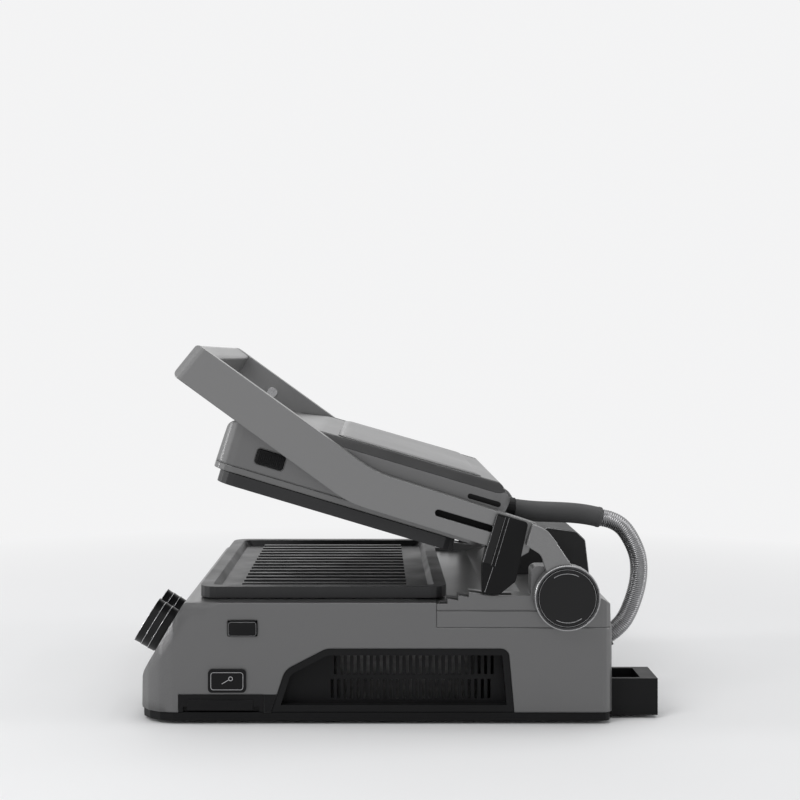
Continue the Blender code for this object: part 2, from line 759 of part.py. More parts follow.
def tower_outline(margin=0.0):
    """The tower from the side: a rounded top that keeps clear of the lid's sweep about the hinge line."""
    outline = [
        (TOWER_FRONT, DECK_TOP + GAP),
        (HUB_Y + TOWER_BACK, DECK_TOP + GAP),
        (HUB_Y + TOWER_BACK - TOWER_SHOULDER_DROP, TOWER_TOP - TOWER_BACK_DROP, EDGE_RADIUS),
        (HUB_Y + TOWER_SHOULDER_BACK, TOWER_TOP - TOWER_SHOULDER_DROP, EDGE_RADIUS),
        (HUB_Y, TOWER_TOP, EDGE_RADIUS * 4),
        (TOWER_FRONT, TOWER_TOP_FRONT, EDGE_RADIUS),
    ]
    return inset(outline, margin) if margin else outline


def make_smoke_tower():
    tower = prism("side", tower_outline(), -TOWER_HALF_WIDTH, TOWER_HALF_WIDTH)
    half = TOWER_HALF_WIDTH - TOWER_WALL
    duct = tower_outline(TOWER_WALL)
    duct[:2] = [(corner[0], DECK_TOP - OVERRUN) for corner in duct[:2]]
    cut(tower, prism("side", duct, -half, half))
    window = box(
        (-half + TOWER_WALL, TOWER_FRONT - OVERRUN * 2, DECK_TOP + TOWER_WALL * 2),
        (half - TOWER_WALL, TOWER_FRONT + OVERRUN * 3, TOWER_TOP_FRONT - TOWER_WALL * 4),
    )
    cut(tower, window)
    return piece(tower, "smoke_tower", BLACK_PLASTIC)


def make_intake_filter():
    half = TOWER_HALF_WIDTH - TOWER_WALL * 2 - GAP
    low, high = DECK_TOP + TOWER_WALL * 2 + GAP, TOWER_TOP_FRONT - TOWER_WALL * 4 - GAP
    front = TOWER_FRONT + GAP
    panel = box((-half, front, low), (half, front + TOWER_WALL, high))
    slats, bars = 5, 6
    height = (high - low) / slats
    width = half * 2 / bars
    holes = []
    for level in range(slats):
        for number in range(bars):
            x = -half + number * width + TOWER_WALL / 2
            z = low + level * height + TOWER_WALL / 2
            far = (x + width - TOWER_WALL, front + TOWER_WALL + OVERRUN, z + height - TOWER_WALL)
            holes.append(((x, front - OVERRUN, z), far))
    cut(panel, boxes(holes))
    return piece(panel, "intake_filter", STEEL)


PLATE_SEAT = BASE_TOP + GAP + REFLECTOR_WALL + GAP


def plate_ridges(half_width, front, rear, low, high):
    """Bars that run front to back, evenly over the width."""
    count = int(half_width * 2 / RIDGE_PITCH)
    start = -(count - 1) * RIDGE_PITCH / 2
    bars = []
    for number in range(count):
        x = start + number * RIDGE_PITCH
        bars.append(((x - RIDGE_WIDTH / 2, front, low), (x + RIDGE_WIDTH / 2, rear, high)))
    return bars


def dish_corners(outline, margin):
    return [(x, y, DISH_CORNER_RADIUS) for x, y, _ in inset(outline, margin)]


def dished(outline, floor, rim, on=None):
    """The hollow of a plate: a wide rim, and a wall that falls at a slant to the floor."""
    over = OVERRUN if rim > floor else -OVERRUN
    slope = PLATE_RIM_FALL / (rim - floor)
    work = bmesh.new()
    levels = [(floor, PLATE_RIM_WALL + PLATE_RIM_FALL), (rim + over, PLATE_RIM_WALL - slope * over)]
    rings = [
        [work.verts.new((x, y, height)) for x, y in rounded(dish_corners(outline, margin))]
        for height, margin in levels
    ]
    for ring in rings:
        work.faces.new(ring)
    bmesh.ops.bridge_loops(work, edges=[edge for edge in work.edges])
    bmesh.ops.recalc_face_normals(work, faces=work.faces)
    return from_bmesh(work, "dished", on)


def make_lower_plate():
    outline = rectangle(-PLATE_HALF_WIDTH, PLATE_HALF_WIDTH, PLATE_FRONT, PLATE_REAR, PLATE_CORNER_RADIUS)
    plate = prism("top", outline, PLATE_SEAT, PLATE_RIM_TOP)
    floor_top = PLATE_SEAT + PLATE_FLOOR
    cut(plate, dished(outline, floor_top, PLATE_RIM_TOP))
    ridges = plate_ridges(
        PLATE_HALF_WIDTH - RIDGE_SIDE_MARGIN,
        PLATE_FRONT + CHANNEL_RUN,
        PLATE_REAR - CHANNEL_RUN,
        floor_top - PLATE_FLOOR / 4,
        floor_top + RIDGE_HEIGHT,
    )
    join(plate, boxes(ridges))
    drain_y = PLATE_REAR - (PLATE_RIM_WALL + PLATE_RIM_FALL + CHANNEL_RUN) / 2
    drain = rod((TRAY_X, drain_y, PLATE_SEAT - OVERRUN), "Z", PLATE_FLOOR + OVERRUN * 2, DRAIN_RADIUS)
    cut(plate, drain)
    return piece(plate, "lower_plate", NONSTICK)


def heater_path(half_width, front, rear, height):
    """A serpentine in one level plane, with half-round ends."""
    runs = HEATER_LOOPS * 2
    pitch = (rear - front) / (runs - 1)
    points = []
    for run in range(runs):
        y = front + run * pitch
        way = 1 if run % 2 == 0 else -1
        points.append((-way * half_width, y, height))
        points.append((way * half_width, y, height))
        if run < runs - 1:
            for step in range(1, 6):
                angle = math.pi * step / 6
                bulge = way * (half_width + math.sin(angle) * pitch / 2)
                points.append((bulge, y + pitch * (1 - math.cos(angle)) / 2, height))
    return points


def make_lower_heater():
    half = WELL_HALF_WIDTH - HEATER_MARGIN
    height = PLATE_SEAT - GAP - HEATER_RADIUS
    path = heater_path(half, WELL_FRONT + HEATER_MARGIN / 2, WELL_REAR - HEATER_MARGIN / 2, height)
    return piece(tube(path, HEATER_RADIUS), "lower_heater", STEEL)


def make_lower_reflector():
    well = rectangle(-WELL_HALF_WIDTH, WELL_HALF_WIDTH, WELL_FRONT, WELL_REAR, PLATE_CORNER_RADIUS)
    bottom, top = BASE_TOP - REFLECTOR_DEPTH, BASE_TOP + GAP + REFLECTOR_WALL
    tray = prism("top", inset(well, GAP * 2), bottom, top)
    join(tray, prism("top", inset(well, -WELL_MARGIN / 2), BASE_TOP + GAP, top))
    cut(tray, prism("top", inset(well, GAP * 2 + REFLECTOR_WALL), bottom + REFLECTOR_WALL, top + OVERRUN))
    return piece(tray, "lower_reflector", STEEL)


SCROLL_TOP = DECK_BOTTOM - GAP - SHELL_WALL - GAP
SCROLL_BOTTOM = FAN_BOTTOM - SCROLL_WALL * 2
SCROLL_RADIUS = FAN_RADIUS + SCROLL_CLEARANCE + SCROLL_WALL
MOTOR_TOP = FAN_BOTTOM - SCROLL_WALL / 2
MOTOR_SHAFT_RADIUS = 0.002
SCROLL_MOUTH_SHARE = 0.45


def make_fan_scroll():
    scroll = rod((0, FAN_Y, SCROLL_BOTTOM), "Z", SCROLL_TOP - SCROLL_BOTTOM, SCROLL_RADIUS)
    chamber_bottom = SCROLL_BOTTOM + SCROLL_WALL
    chamber = SCROLL_TOP - SCROLL_WALL - chamber_bottom
    cut(scroll, rod((0, FAN_Y, chamber_bottom), "Z", chamber, SCROLL_RADIUS - SCROLL_WALL))
    cut(scroll, rod((0, FAN_Y, chamber_bottom + chamber / 2), "Z", chamber, FAN_RADIUS * FAN_INLET_SHARE))
    cut(scroll, rod((0, FAN_Y, SCROLL_BOTTOM - OVERRUN), "Z", OVERRUN * 2, MOTOR_RADIUS + GAP))
    mouth = SCROLL_RADIUS * SCROLL_MOUTH_SHARE
    cut(
        scroll,
        box(
            (-SCROLL_RADIUS - OVERRUN, FAN_Y - mouth, chamber_bottom + SCROLL_WALL),
            (SCROLL_RADIUS + OVERRUN, FAN_Y + mouth, SCROLL_TOP - SCROLL_WALL * 2),
        ),
    )
    return piece(scroll, "fan_scroll", BLACK_PLASTIC)


def make_fan_motor():
    motor = rod((0, FAN_Y, MOTOR_TOP - MOTOR_HEIGHT), "Z", MOTOR_HEIGHT, MOTOR_RADIUS)
    join(motor, rod((0, FAN_Y, MOTOR_TOP - OVERRUN), "Z", OVERRUN + FAN_HEIGHT / 2, MOTOR_SHAFT_RADIUS, sides=16))
    return piece(motor, "fan_motor", STEEL)


def make_fan_impeller():
    impeller = rod((0, FAN_Y, FAN_BOTTOM), "Z", FAN_DISC, FAN_RADIUS)
    hub_height = FAN_HEIGHT * FAN_HUB_HEIGHT_SHARE
    join(impeller, rod((0, FAN_Y, FAN_BOTTOM), "Z", hub_height, FAN_RADIUS * FAN_HUB_SHARE))
    blades = bmesh.new()
    for number in range(FAN_BLADES):
        turn = Matrix.Rotation(math.tau * number / FAN_BLADES, 4, "Z")
        sweep = Matrix.Rotation(BLADE_SWEEP, 4, "Z")
        middle_height = FAN_BOTTOM + (FAN_HEIGHT + FAN_DISC / 2) / 2
        middle = Matrix.Translation((FAN_RADIUS * BLADE_PLACE_SHARE, 0, middle_height))
        size = Matrix.Diagonal((FAN_RADIUS * BLADE_CHORD_SHARE, FAN_DISC, FAN_HEIGHT - FAN_DISC / 2, 1.0))
        place = Matrix.Translation((0, FAN_Y, 0)) @ turn @ middle @ sweep @ size
        bmesh.ops.create_cube(blades, size=1.0, matrix=place)
    join(impeller, from_bmesh(blades, "blades", None))
    bore = rod((0, FAN_Y, FAN_BOTTOM - OVERRUN), "Z", FAN_HEIGHT + OVERRUN, MOTOR_SHAFT_RADIUS + GAP, sides=16)
    cut(impeller, bore)
    return piece(impeller, "fan_impeller", BLACK_PLASTIC)


def turned(profile, place=None, on=None, steps=SIDES):
    """A solid of revolution from (radius, height) points that run from the top of the axis to its bottom."""
    work = bmesh.new()
    corners = [work.verts.new((radius, 0, height)) for radius, height in profile]
    for first, second in zip(corners, corners[1:]):
        work.edges.new((first, second))
    mesh = bpy.data.meshes.new("profile")
    work.to_mesh(mesh)
    work.free()
    guide = bpy.data.objects.new("profile", mesh)
    CUTTERS.objects.link(guide)
    screw = guide.modifiers.new("turn", "SCREW")
    screw.steps = screw.render_steps = steps
    screw.use_merge_vertices = True
    screw.merge_threshold = WELD_DISTANCE
    guide.matrix_world = place or Matrix.Identity(4)
    return welded_mesh(guide, on)


def make_knobs():
    tilt = slope_tilt()
    turn = tilt.to_matrix().to_4x4()
    board_depth = SHELL_WALL + ENCODER_BODY + GAP * 2
    for x, where in zip(knob_places(), ("temperature", "timer")):
        foot = on_slope(KNOB_SLOPE_SHARE, GAP * 2)
        profile = [(0, KNOB_DEPTH), (KNOB_RADIUS - KNOB_EDGE, KNOB_DEPTH)]
        for number in range(KNOB_BANDS):
            top = KNOB_DEPTH - number * KNOB_BAND_STEP
            foot_of_band = top - KNOB_BAND_STEP
            set_back = KNOB_RADIUS - KNOB_BAND_SET_BACK
            profile += [(KNOB_RADIUS, top - KNOB_EDGE), (set_back, top - KNOB_EDGE * 2), (set_back, foot_of_band)]
        collar = KNOB_RADIUS * KNOB_COLLAR_SHARE
        profile += [(collar, profile[-1][1]), (collar, 0), (0, 0)]
        knob = turned(profile, Matrix.Translation((x, *foot)) @ turn)
        shaft_end = KNOB_DEPTH * KNOB_BORE_SHARE
        bore_start = (x, *on_slope(KNOB_SLOPE_SHARE, -OVERRUN))
        bore = rod(bore_start, "Z", shaft_end + OVERRUN, ENCODER_RADIUS + GAP, tilt=tilt)
        piece(cut(knob, bore), where + "_knob", BLACK_PLASTIC)
        start = on_slope(KNOB_SLOPE_SHARE, -SHELL_WALL - GAP - ENCODER_BODY)
        body = rod((x, *start), "Z", ENCODER_BODY, ENCODER_RADIUS * 2, sides=8, tilt=tilt)
        post_length = SHELL_WALL + ENCODER_BODY + shaft_end - GAP * 2
        join(body, rod((x, *start), "Z", post_length, ENCODER_RADIUS, tilt=tilt))
        piece(body, where + "_encoder", STEEL)
    board_middle = on_slope(BOARD_SLOPE_SHARE, -board_depth - BOARD_THICKNESS / 2)
    centre = (sum(knob_places()) / 2, *board_middle)
    half = Vector((BOARD_WIDTH, BOARD_LENGTH, BOARD_THICKNESS)) / 2
    board = box(-half, half)
    board.data.transform(Matrix.Translation(centre) @ turn)
    piece(board, "control_board", BOARD_GREEN)


def make_lower_release():
    half_y, half_z = RELEASE_LENGTH / 2, RELEASE_HEIGHT / 2
    outline = rectangle(
        LOWER_RELEASE_Y - half_y,
        LOWER_RELEASE_Y + half_y,
        LOWER_RELEASE_Z - half_z,
        LOWER_RELEASE_Z + half_z,
        RELEASE_HEIGHT / 5,
    )
    inside = BASE_HALF_WIDTH - SHELL_WALL - RELEASE_STEM
    release = prism("side", outline, inside, BASE_HALF_WIDTH + RELEASE_PROUD)
    return piece(release, "lower_plate_release", BLACK_PLASTIC)


def cover_rectangle(margin=0.0):
    half_y, half_z = COVER_LENGTH / 2 - margin, COVER_HEIGHT / 2 - margin
    radius = COVER_HEIGHT / 6 - margin
    return rectangle(COVER_Y - half_y, COVER_Y + half_y, COVER_Z - half_z, COVER_Z + half_z, radius)


PROBE_SOCKET_RADIUS = 0.0045


def make_probe_socket():
    start = (BASE_HALF_WIDTH - SHELL_WALL * 3, COVER_Y, COVER_Z)
    socket = rod(start, "X", SHELL_WALL * 3, PROBE_SOCKET_RADIUS)
    bore_start = (BASE_HALF_WIDTH - SHELL_WALL * 2, COVER_Y, COVER_Z)
    cut(socket, rod(bore_start, "X", SHELL_WALL * 3, PROBE_SOCKET_RADIUS / 2))
    piece(socket, "probe_socket", STEEL)
    low = BASE_HALF_WIDTH + GAP
    cover = prism("side", cover_rectangle(), low, low + COVER_THICKNESS)
    return piece(cover, "probe_socket_cover", BLACK_PLASTIC)


def make_probe_drawer():
    low_x, high_x = BASE_HALF_WIDTH - DRAWER_LENGTH, BASE_HALF_WIDTH - GAP
    low_y, high_y = DRAWER_FRONT + GAP, DRAWER_REAR - GAP
    low_z, high_z = SKIRT_TOP + GAP, DRAWER_TOP - GAP
    drawer = box((low_x, low_y, low_z), (high_x, high_y, high_z))
    face = high_x - SHELL_WALL * 2
    hollow = box(
        (low_x + DRAWER_WALL, low_y + DRAWER_WALL, low_z + DRAWER_WALL),
        (face, high_y - DRAWER_WALL, high_z + OVERRUN),
    )
    finger = box(
        (high_x - SHELL_WALL, low_y + DRAWER_WALL * 2, low_z - OVERRUN),
        (high_x + OVERRUN, high_y - DRAWER_WALL * 2, low_z + (high_z - low_z) * DRAWER_PULL_SHARE),
    )
    return piece(cut(drawer, hollow, finger), "probe_drawer", BLACK_PLASTIC)


def make_drip_tray():
    low_x, high_x = TRAY_X - TRAY_HALF_WIDTH, TRAY_X + TRAY_HALF_WIDTH
    tray = box((low_x, BASE_REAR + GAP * 2, TRAY_BOTTOM), (high_x, TRAY_REAR, TRAY_TOP))
    inner = TRAY_HALF_WIDTH - TRAY_WALL - GAP
    neck_front = BASE_REAR - TRAY_DEPTH_INSIDE
    neck = box(
        (TRAY_X - inner, neck_front, TRAY_NECK_BOTTOM + GAP),
        (TRAY_X + inner, BASE_REAR + TRAY_WALL, TRAY_INNER_TOP - GAP),
    )
    join(tray, neck)
    hollow_half = inner - TRAY_WALL
    basin = box(
        (TRAY_X - hollow_half, BASE_REAR + TRAY_WALL * 2, TRAY_BOTTOM + TRAY_WALL),
        (TRAY_X + hollow_half, TRAY_REAR - TRAY_LIP, TRAY_TOP + OVERRUN),
    )
    gutter = box(
        (TRAY_X - hollow_half, neck_front + TRAY_WALL, TRAY_NECK_BOTTOM + TRAY_WALL),
        (TRAY_X + hollow_half, BASE_REAR + TRAY_WALL * 3, TRAY_TOP + OVERRUN),
    )
    return piece(cut(tray, basin, gutter), "drip_tray", BLACK_PLASTIC)


def make_hinge_shafts():
    for side, where in ((1, "right"), (-1, "left")):
        low, high = sided(side, SHAFT_INNER_END, ARM_FACE + GAP + HUB_FLOOR)
        piece(rod((low, HUB_Y, HUB_Z), "X", high - low, SHAFT_RADIUS), "hinge_shaft_" + where, STEEL)


def make_conduit_socket():
    direction = Vector((0, math.cos(SOCKET_TILT), math.sin(SOCKET_TILT)))
    tilt = direction.to_track_quat("Z", "X")
    mouth = Vector((SOCKET_X, BASE_REAR, SOCKET_Z)) + direction * SOCKET_LENGTH
    back = SOCKET_LENGTH + SHELL_WALL * 4
    socket = rod(mouth - direction * back, "Z", back, SOCKET_RADIUS, tilt=tilt)
    reach = SOCKET_RADIUS * 3
    inside = box(
        (SOCKET_X - reach, BASE_REAR - reach * 2, SOCKET_Z - reach),
        (SOCKET_X + reach, BASE_REAR + GAP, SOCKET_Z + reach),
    )
    cut(socket, inside)
    inner_end = (SOCKET_X, BASE_REAR - SHELL_WALL * 2, SOCKET_Z)
    spigot = rod(inner_end, "Y", SHELL_WALL * 3, SOCKET_RADIUS * SPIGOT_SHARE)
    join(socket, spigot)
    return piece(socket, "conduit_socket", BLACK_PLASTIC)


def new_axis(name, location, tilt=0.0, on=None):
    axis = bpy.data.objects.new(name, None)
    PARTS.objects.link(axis)
    axis.location = location
    axis.rotation_euler = (tilt, 0, 0)
    axis.parent = on
    return axis


def forward(points):
    """Outline corners given as (distance in front of the hinge line, height over it, radius) in side view."""
    return [(-point[0], *point[1:]) for point in points]


ARM_TOP_BEND = (0.178, 0.0523)
ARM_BOTTOM_BEND = (0.1915, 0.0219)
ARM_BEND_RADIUS = 0.090
ARM_REAR_TOP = 0.0496
ARM_REAR_BOTTOM = 0.0205
NECK_BOTTOM = 0.0310
NECK_SHOULDER = (0.030, 0.0475)
NECK_THROAT = (0.030, 0.0272)
NECK_CREST_SHARES = (0.12, 0.97)
NECK_ROOT_SHARES = (0.7, 0.4)
SLOT_ROUND_SHARE = 0.98


def yoke_corner(side, yoke):
    """What is cut away outside an arm's rounded front corner, along its slanted front edge."""
    face, front = ARM_FACE + GAP / 3, -HANDLE_FRONT_BOTTOM[0] - GAP / 3
    reach = YOKE_CORNER_RADIUS + GAP
    outline = [
        (side * face, front + reach),
        (side * (face + OVERRUN), front + reach),
        (side * (face + OVERRUN), front - OVERRUN),
        (side * (face - reach), front - OVERRUN),
        (side * (face - reach), front),
        (side * face, front, YOKE_CORNER_RADIUS),
    ]
    low, high = HANDLE_FRONT_BOTTOM[1], HANDLE_FRONT_TOP[1]
    corner = prism("top", outline[::-side], low - OVERRUN, high + OVERRUN, on=yoke)
    lean = Matrix.Identity(4)
    lean[1][2] = (HANDLE_FRONT_BOTTOM[0] - HANDLE_FRONT_TOP[0]) / (high - low)
    place = Matrix.Translation((0, 0, low))
    corner.data.transform(place @ lean @ place.inverted())
    return corner


def make_arms(yoke):
    for side, where in ((1, "right"), (-1, "left")):
        outline = forward([
            (*HANDLE_FRONT_TOP, EDGE_RADIUS),
            (*ARM_TOP_BEND, ARM_BEND_RADIUS),
            (NECK_START, ARM_REAR_TOP),
            (NECK_START, ARM_REAR_BOTTOM + EDGE_RADIUS),
            (NECK_REACH, ARM_REAR_BOTTOM),
            (*ARM_BOTTOM_BEND, ARM_BEND_RADIUS),
            (*HANDLE_FRONT_BOTTOM, EDGE_RADIUS),
        ])
        arm = closed_solver(prism("side", outline, *sided(side, ARM_INNER_FACE, ARM_FACE), on=yoke))
        low, high = sided(side, HUB_INNER_FACE, ARM_OUTER_FACE)
        neck = forward([
            (NECK_REACH, ARM_REAR_TOP - GAP),
            (*NECK_SHOULDER, HUB_RADIUS / 2),
            (HUB_RADIUS * NECK_CREST_SHARES[0], HUB_RADIUS * NECK_CREST_SHARES[1]),
            (0, 0),
            (HUB_RADIUS * NECK_ROOT_SHARES[0], HUB_RADIUS * NECK_ROOT_SHARES[1]),
            (*NECK_THROAT, HUB_RADIUS / 3),
            (NECK_REACH, NECK_BOTTOM),
        ])
        join(arm, prism("side", neck, low, high, on=yoke))
        join(arm, rod((low, 0, 0), "X", high - low, HUB_RADIUS, on=yoke, sides=HUB_SIDES))
        low, high = sided(side, ARM_INNER_FACE + GAP, ARM_OUTER_FACE - GAP)
        web = box(
            (low, -NECK_REACH + GAP, NECK_BOTTOM + GAP),
            (high, -NECK_START - GAP, ARM_REAR_TOP - GAP * 2),
            on=yoke,
        )
        join(arm, web)
        low, high = sided(side, SLOT_FLOOR, ARM_FACE + OVERRUN)
        half = ARM_SLOT_WIDTH / 2
        low_edge, high_edge = SLOT_HEIGHT - half, SLOT_HEIGHT + half
        slot = rectangle(-SLOT_LENGTH_FRONT, -SLOT_REAR, low_edge, high_edge, half * SLOT_ROUND_SHARE)
        cut(arm, prism("side", slot, low, high, on=yoke))
        low, high = sided(side, HUB_INNER_FACE - OVERRUN, ARM_OUTER_FACE + OVERRUN)
        cut(arm, rod((low, 0, 0), "X", high - low, SHAFT_RADIUS + GAP, on=yoke))
        low, high = sided(side, HUB_INNER_FACE + HUB_FLOOR, ARM_OUTER_FACE + OVERRUN)
        cut(arm, rod((low, 0, 0), "X", high - low, HUB_RADIUS - HUB_RING_WALL, on=yoke, sides=HUB_SIDES))
        low, high = sided(side, ARM_INNER_FACE - OVERRUN, ARM_INNER_FACE + PIN_SEAT)
        pin = rod((low, -LID_PIVOT_FRONT, LID_PIVOT_HEIGHT), "X", high - low, LID_PIVOT_RADIUS + GAP, on=yoke)
        low, high = sided(side, ARM_INNER_FACE - OVERRUN, ARM_INNER_FACE + SCREW_LENGTH + GAP)
        head = (low, -SCREW_PLACE[0], SCREW_PLACE[1])
        screw = rod(head, "X", high - low, SCREW_RADIUS + GAP, on=yoke, sides=12)
        cut(arm, pin, screw, yoke_corner(side, yoke))
        piece(arm, "arm_" + where, GREY_METAL)


HUB_INNER_FACE = BASE_HALF_WIDTH + GAP * 2
SHAFT_INNER_END = ARM_FACE - SHAFT_LENGTH
SLOT_FLOOR = ARM_FACE - ARM_WIDTH / 2 + GAP * 2
PIN_SEAT_SHARE = 0.42
PIN_SEAT = ARM_WIDTH * PIN_SEAT_SHARE
SCREW_PLACE = (0.2972, 0.0764)
SCREW_LENGTH = 0.008
SCREW_RADIUS = 0.0022
SCREW_HEAD_RADIUS = 0.0052
SCREW_HEAD = 0.002


def make_handle(yoke):
    half = ARM_INNER_FACE - GAP
    top, bottom = HANDLE_FRONT_TOP, HANDLE_FRONT_BOTTOM
    back = HANDLE_DEPTH / 2
    bar = forward([
        (top[0], top[1], EDGE_RADIUS),
        (top[0] - back, top[1] - back * HANDLE_TOP_SLOPE_SHARE, EDGE_RADIUS / 2),
        (bottom[0] - back * HANDLE_BOTTOM_SHARE, bottom[1] - back * HANDLE_BOTTOM_SLOPE_SHARE, EDGE_RADIUS),
        (bottom[0], bottom[1], EDGE_RADIUS),
    ])
    piece(prism("side", bar, -half, half, on=yoke), "handle_bar", GREY_METAL)
    for side, where in ((1, "right"), (-1, "left")):
        face = ARM_INNER_FACE - GAP
        low, high = sided(side, face - SCREW_HEAD, face)
        head = rod((low, -SCREW_PLACE[0], SCREW_PLACE[1]), "X", high - low, SCREW_HEAD_RADIUS, on=yoke, sides=16)
        low, high = sided(side, face - SCREW_HEAD / 2, ARM_INNER_FACE + SCREW_LENGTH)
        shank = rod((low, -SCREW_PLACE[0], SCREW_PLACE[1]), "X", high - low, SCREW_RADIUS, on=yoke, sides=12)
        piece(join(head, shank), "handle_screw_" + where, STEEL)


def make_hub_caps(yoke):
    inner = HUB_RADIUS - HUB_RING_WALL
    for side, where in ((1, "right"), (-1, "left")):
        low, high = sided(side, ARM_OUTER_FACE + GAP, HUB_FACE)
        ring = rod((low, 0, 0), "X", high - low, HUB_RADIUS, on=yoke, sides=HUB_SIDES)
        cut(ring, rod((low - OVERRUN, 0, 0), "X", high - low + OVERRUN * 2, inner, on=yoke, sides=HUB_SIDES))
        piece(ring, "hub_ring_" + where, PALE_METAL)
        floor = HUB_INNER_FACE + HUB_FLOOR
        back = floor + GAP + HUB_BUTTON_TRAVEL
        low, high = sided(side, back, HUB_FACE - GAP * 2)
        button = rod((low, 0, 0), "X", high - low, inner - GAP, on=yoke, sides=HUB_SIDES)
        piece(button, "hub_button_" + where, BLACK_PLASTIC)
        start, length = floor + GAP + SPRING_WIRE, HUB_BUTTON_TRAVEL - GAP - SPRING_WIRE * 2
        steps, reach = SPRING_TURNS * SPRING_STEPS, inner * SPRING_SHARE
        coil = []
        for step in range(steps + 1):
            angle = math.tau * step / SPRING_STEPS
            run = start + length * step / steps
            coil.append((side * run, reach * math.cos(angle), reach * math.sin(angle)))
        piece(tube(coil, SPRING_WIRE, on=yoke, resolution=1), "hub_spring_" + where, STEEL)


def make_height_sliders(yoke):
    for side, where in ((1, "right"), (-1, "left")):
        plate = forward([
            (SLIDER_FRONT, SLIDER_TOP, EDGE_RADIUS / 2),
            (SLIDER_FRONT, SLIDER_KNEE),
            (SLIDER_FRONT - SLIDER_TOE_BACK, SLIDER_FOOT),
            (SLIDER_FRONT - SLIDER_TOE_END, SLIDER_FOOT + SLIDER_TOE_BACK / 2),
            (SLIDER_REAR - SLIDER_TOE_BACK / 2, 0, EDGE_RADIUS / 2),
            (SLIDER_REAR, SLIDER_TOP, EDGE_RADIUS / 2),
        ])
        low, high = sided(side, ARM_FACE + GAP, ARM_FACE + GAP + SLIDER_WALL)
        clip = prism("side", plate, low, high, on=yoke)
        leg = forward([
            (SLIDER_FRONT, ARM_REAR_BOTTOM - GAP * 2),
            (SLIDER_FRONT, SLIDER_KNEE),
            (SLIDER_FRONT - SLIDER_TOE_BACK, SLIDER_FOOT),
            (SLIDER_FRONT - SLIDER_TOE_END, SLIDER_FOOT + SLIDER_TOE_BACK / 2),
            (SLIDER_REAR + SLIDER_TOE_BACK / 2, ARM_REAR_BOTTOM - GAP * 2),
        ])
        low, high = sided(side, ARM_INNER_FACE + GAP, ARM_INNER_FACE + GAP + SLIDER_LEG)
        join(clip, prism("side", leg, low, high, on=yoke))
        low, high = sided(side, ARM_INNER_FACE + GAP * 2, ARM_FACE + SLIDER_WALL / 2)
        bridge = box(
            (low, -SLIDER_FRONT + GAP, ARM_REAR_BOTTOM - SLIDER_WALL),
            (high, -SLIDER_REAR - SLIDER_TOE_BACK, ARM_REAR_BOTTOM - GAP * 3),
            on=yoke,
        )
        low, high = sided(side, SLOT_FLOOR + GAP * 2, ARM_FACE + SLIDER_WALL / 2)
        key_half = ARM_SLOT_WIDTH / 2 - GAP
        key = box(
            (low, -SLIDER_FRONT + SLIDER_WALL, SLOT_HEIGHT - key_half),
            (high, -SLOT_REAR - SLIDER_WALL, SLOT_HEIGHT + key_half),
            on=yoke,
        )
        join(clip, bridge, key)
        piece(clip, "height_slider_" + where, BLACK_PLASTIC)


SLIDER_KNEE = 0.007
SLIDER_TOE_BACK = 0.0077
SLIDER_TOE_END = 0.0208


LID_FRONT_TOP = (0.3063, 0.0573)
LID_BROW = (0.2316, 0.0700)
LID_CREST = (0.0739, LID_TOP)
LID_REAR_TOP = (LID_REAR, 0.060)
LID_REAR_BOTTOM = 0.070
LID_CORNER_RADIUS = 0.016
LID_CHAMFER = 0.0095
LID_FRONT_RADIUS = 0.007
TOP_PANEL_INSET = 0.0152
UPPER_SEAT = LID_RIM_BOTTOM - GAP
UPPER_WELL_MARGIN = 0.0125


def lid_plan(margin=0.0):
    half = LID_HALF_WIDTH - margin
    return rectangle(-half, half, -LID_FRONT + margin, -LID_REAR - margin, LID_CORNER_RADIUS - margin)


def lid_profile():
    return forward([
        (LID_FRONT, LID_SEAM + GAP),
        (*LID_FRONT_TOP, LID_FRONT_RADIUS),
        (*LID_BROW, LID_CORNER_RADIUS * 3),
        (*LID_CREST, EDGE_RADIUS),
        (*LID_REAR_TOP, EDGE_RADIUS),
        (LID_REAR_BOTTOM, LID_SEAM + GAP),
    ])


def lid_section(margin=0.0):
    """The lid across its width: upright sides with a wide chamfer under the top."""
    half = LID_HALF_WIDTH - margin
    return [
        (-half, LID_SEAM - OVERRUN),
        (half, LID_SEAM - OVERRUN),
        (half, LID_SIDE_TOP - margin),
        (half - LID_CHAMFER, LID_TOP + OVERRUN / 4 - margin),
        (-half + LID_CHAMFER, LID_TOP + OVERRUN / 4 - margin),
        (-half, LID_SIDE_TOP - margin),
    ]


def upper_release_outline(margin=0.0):
    half_y, half_z = RELEASE_LENGTH / 2 + margin, RELEASE_HEIGHT / 2 + margin
    y, z = -UPPER_RELEASE[0], UPPER_RELEASE[1]
    return rectangle(y - half_y, y + half_y, z - half_z, z + half_z, RELEASE_HEIGHT / 5)


UPPER_RELEASE = (0.2637, 0.0362)
UPPER_PROUD = 0.0021
GLAND_X = SOCKET_X
GLAND_HEIGHT = 0.0485
GLAND_RADIUS = 0.0100
GLAND_LENGTH = 0.010
GLAND_TILT = math.radians(10.5)


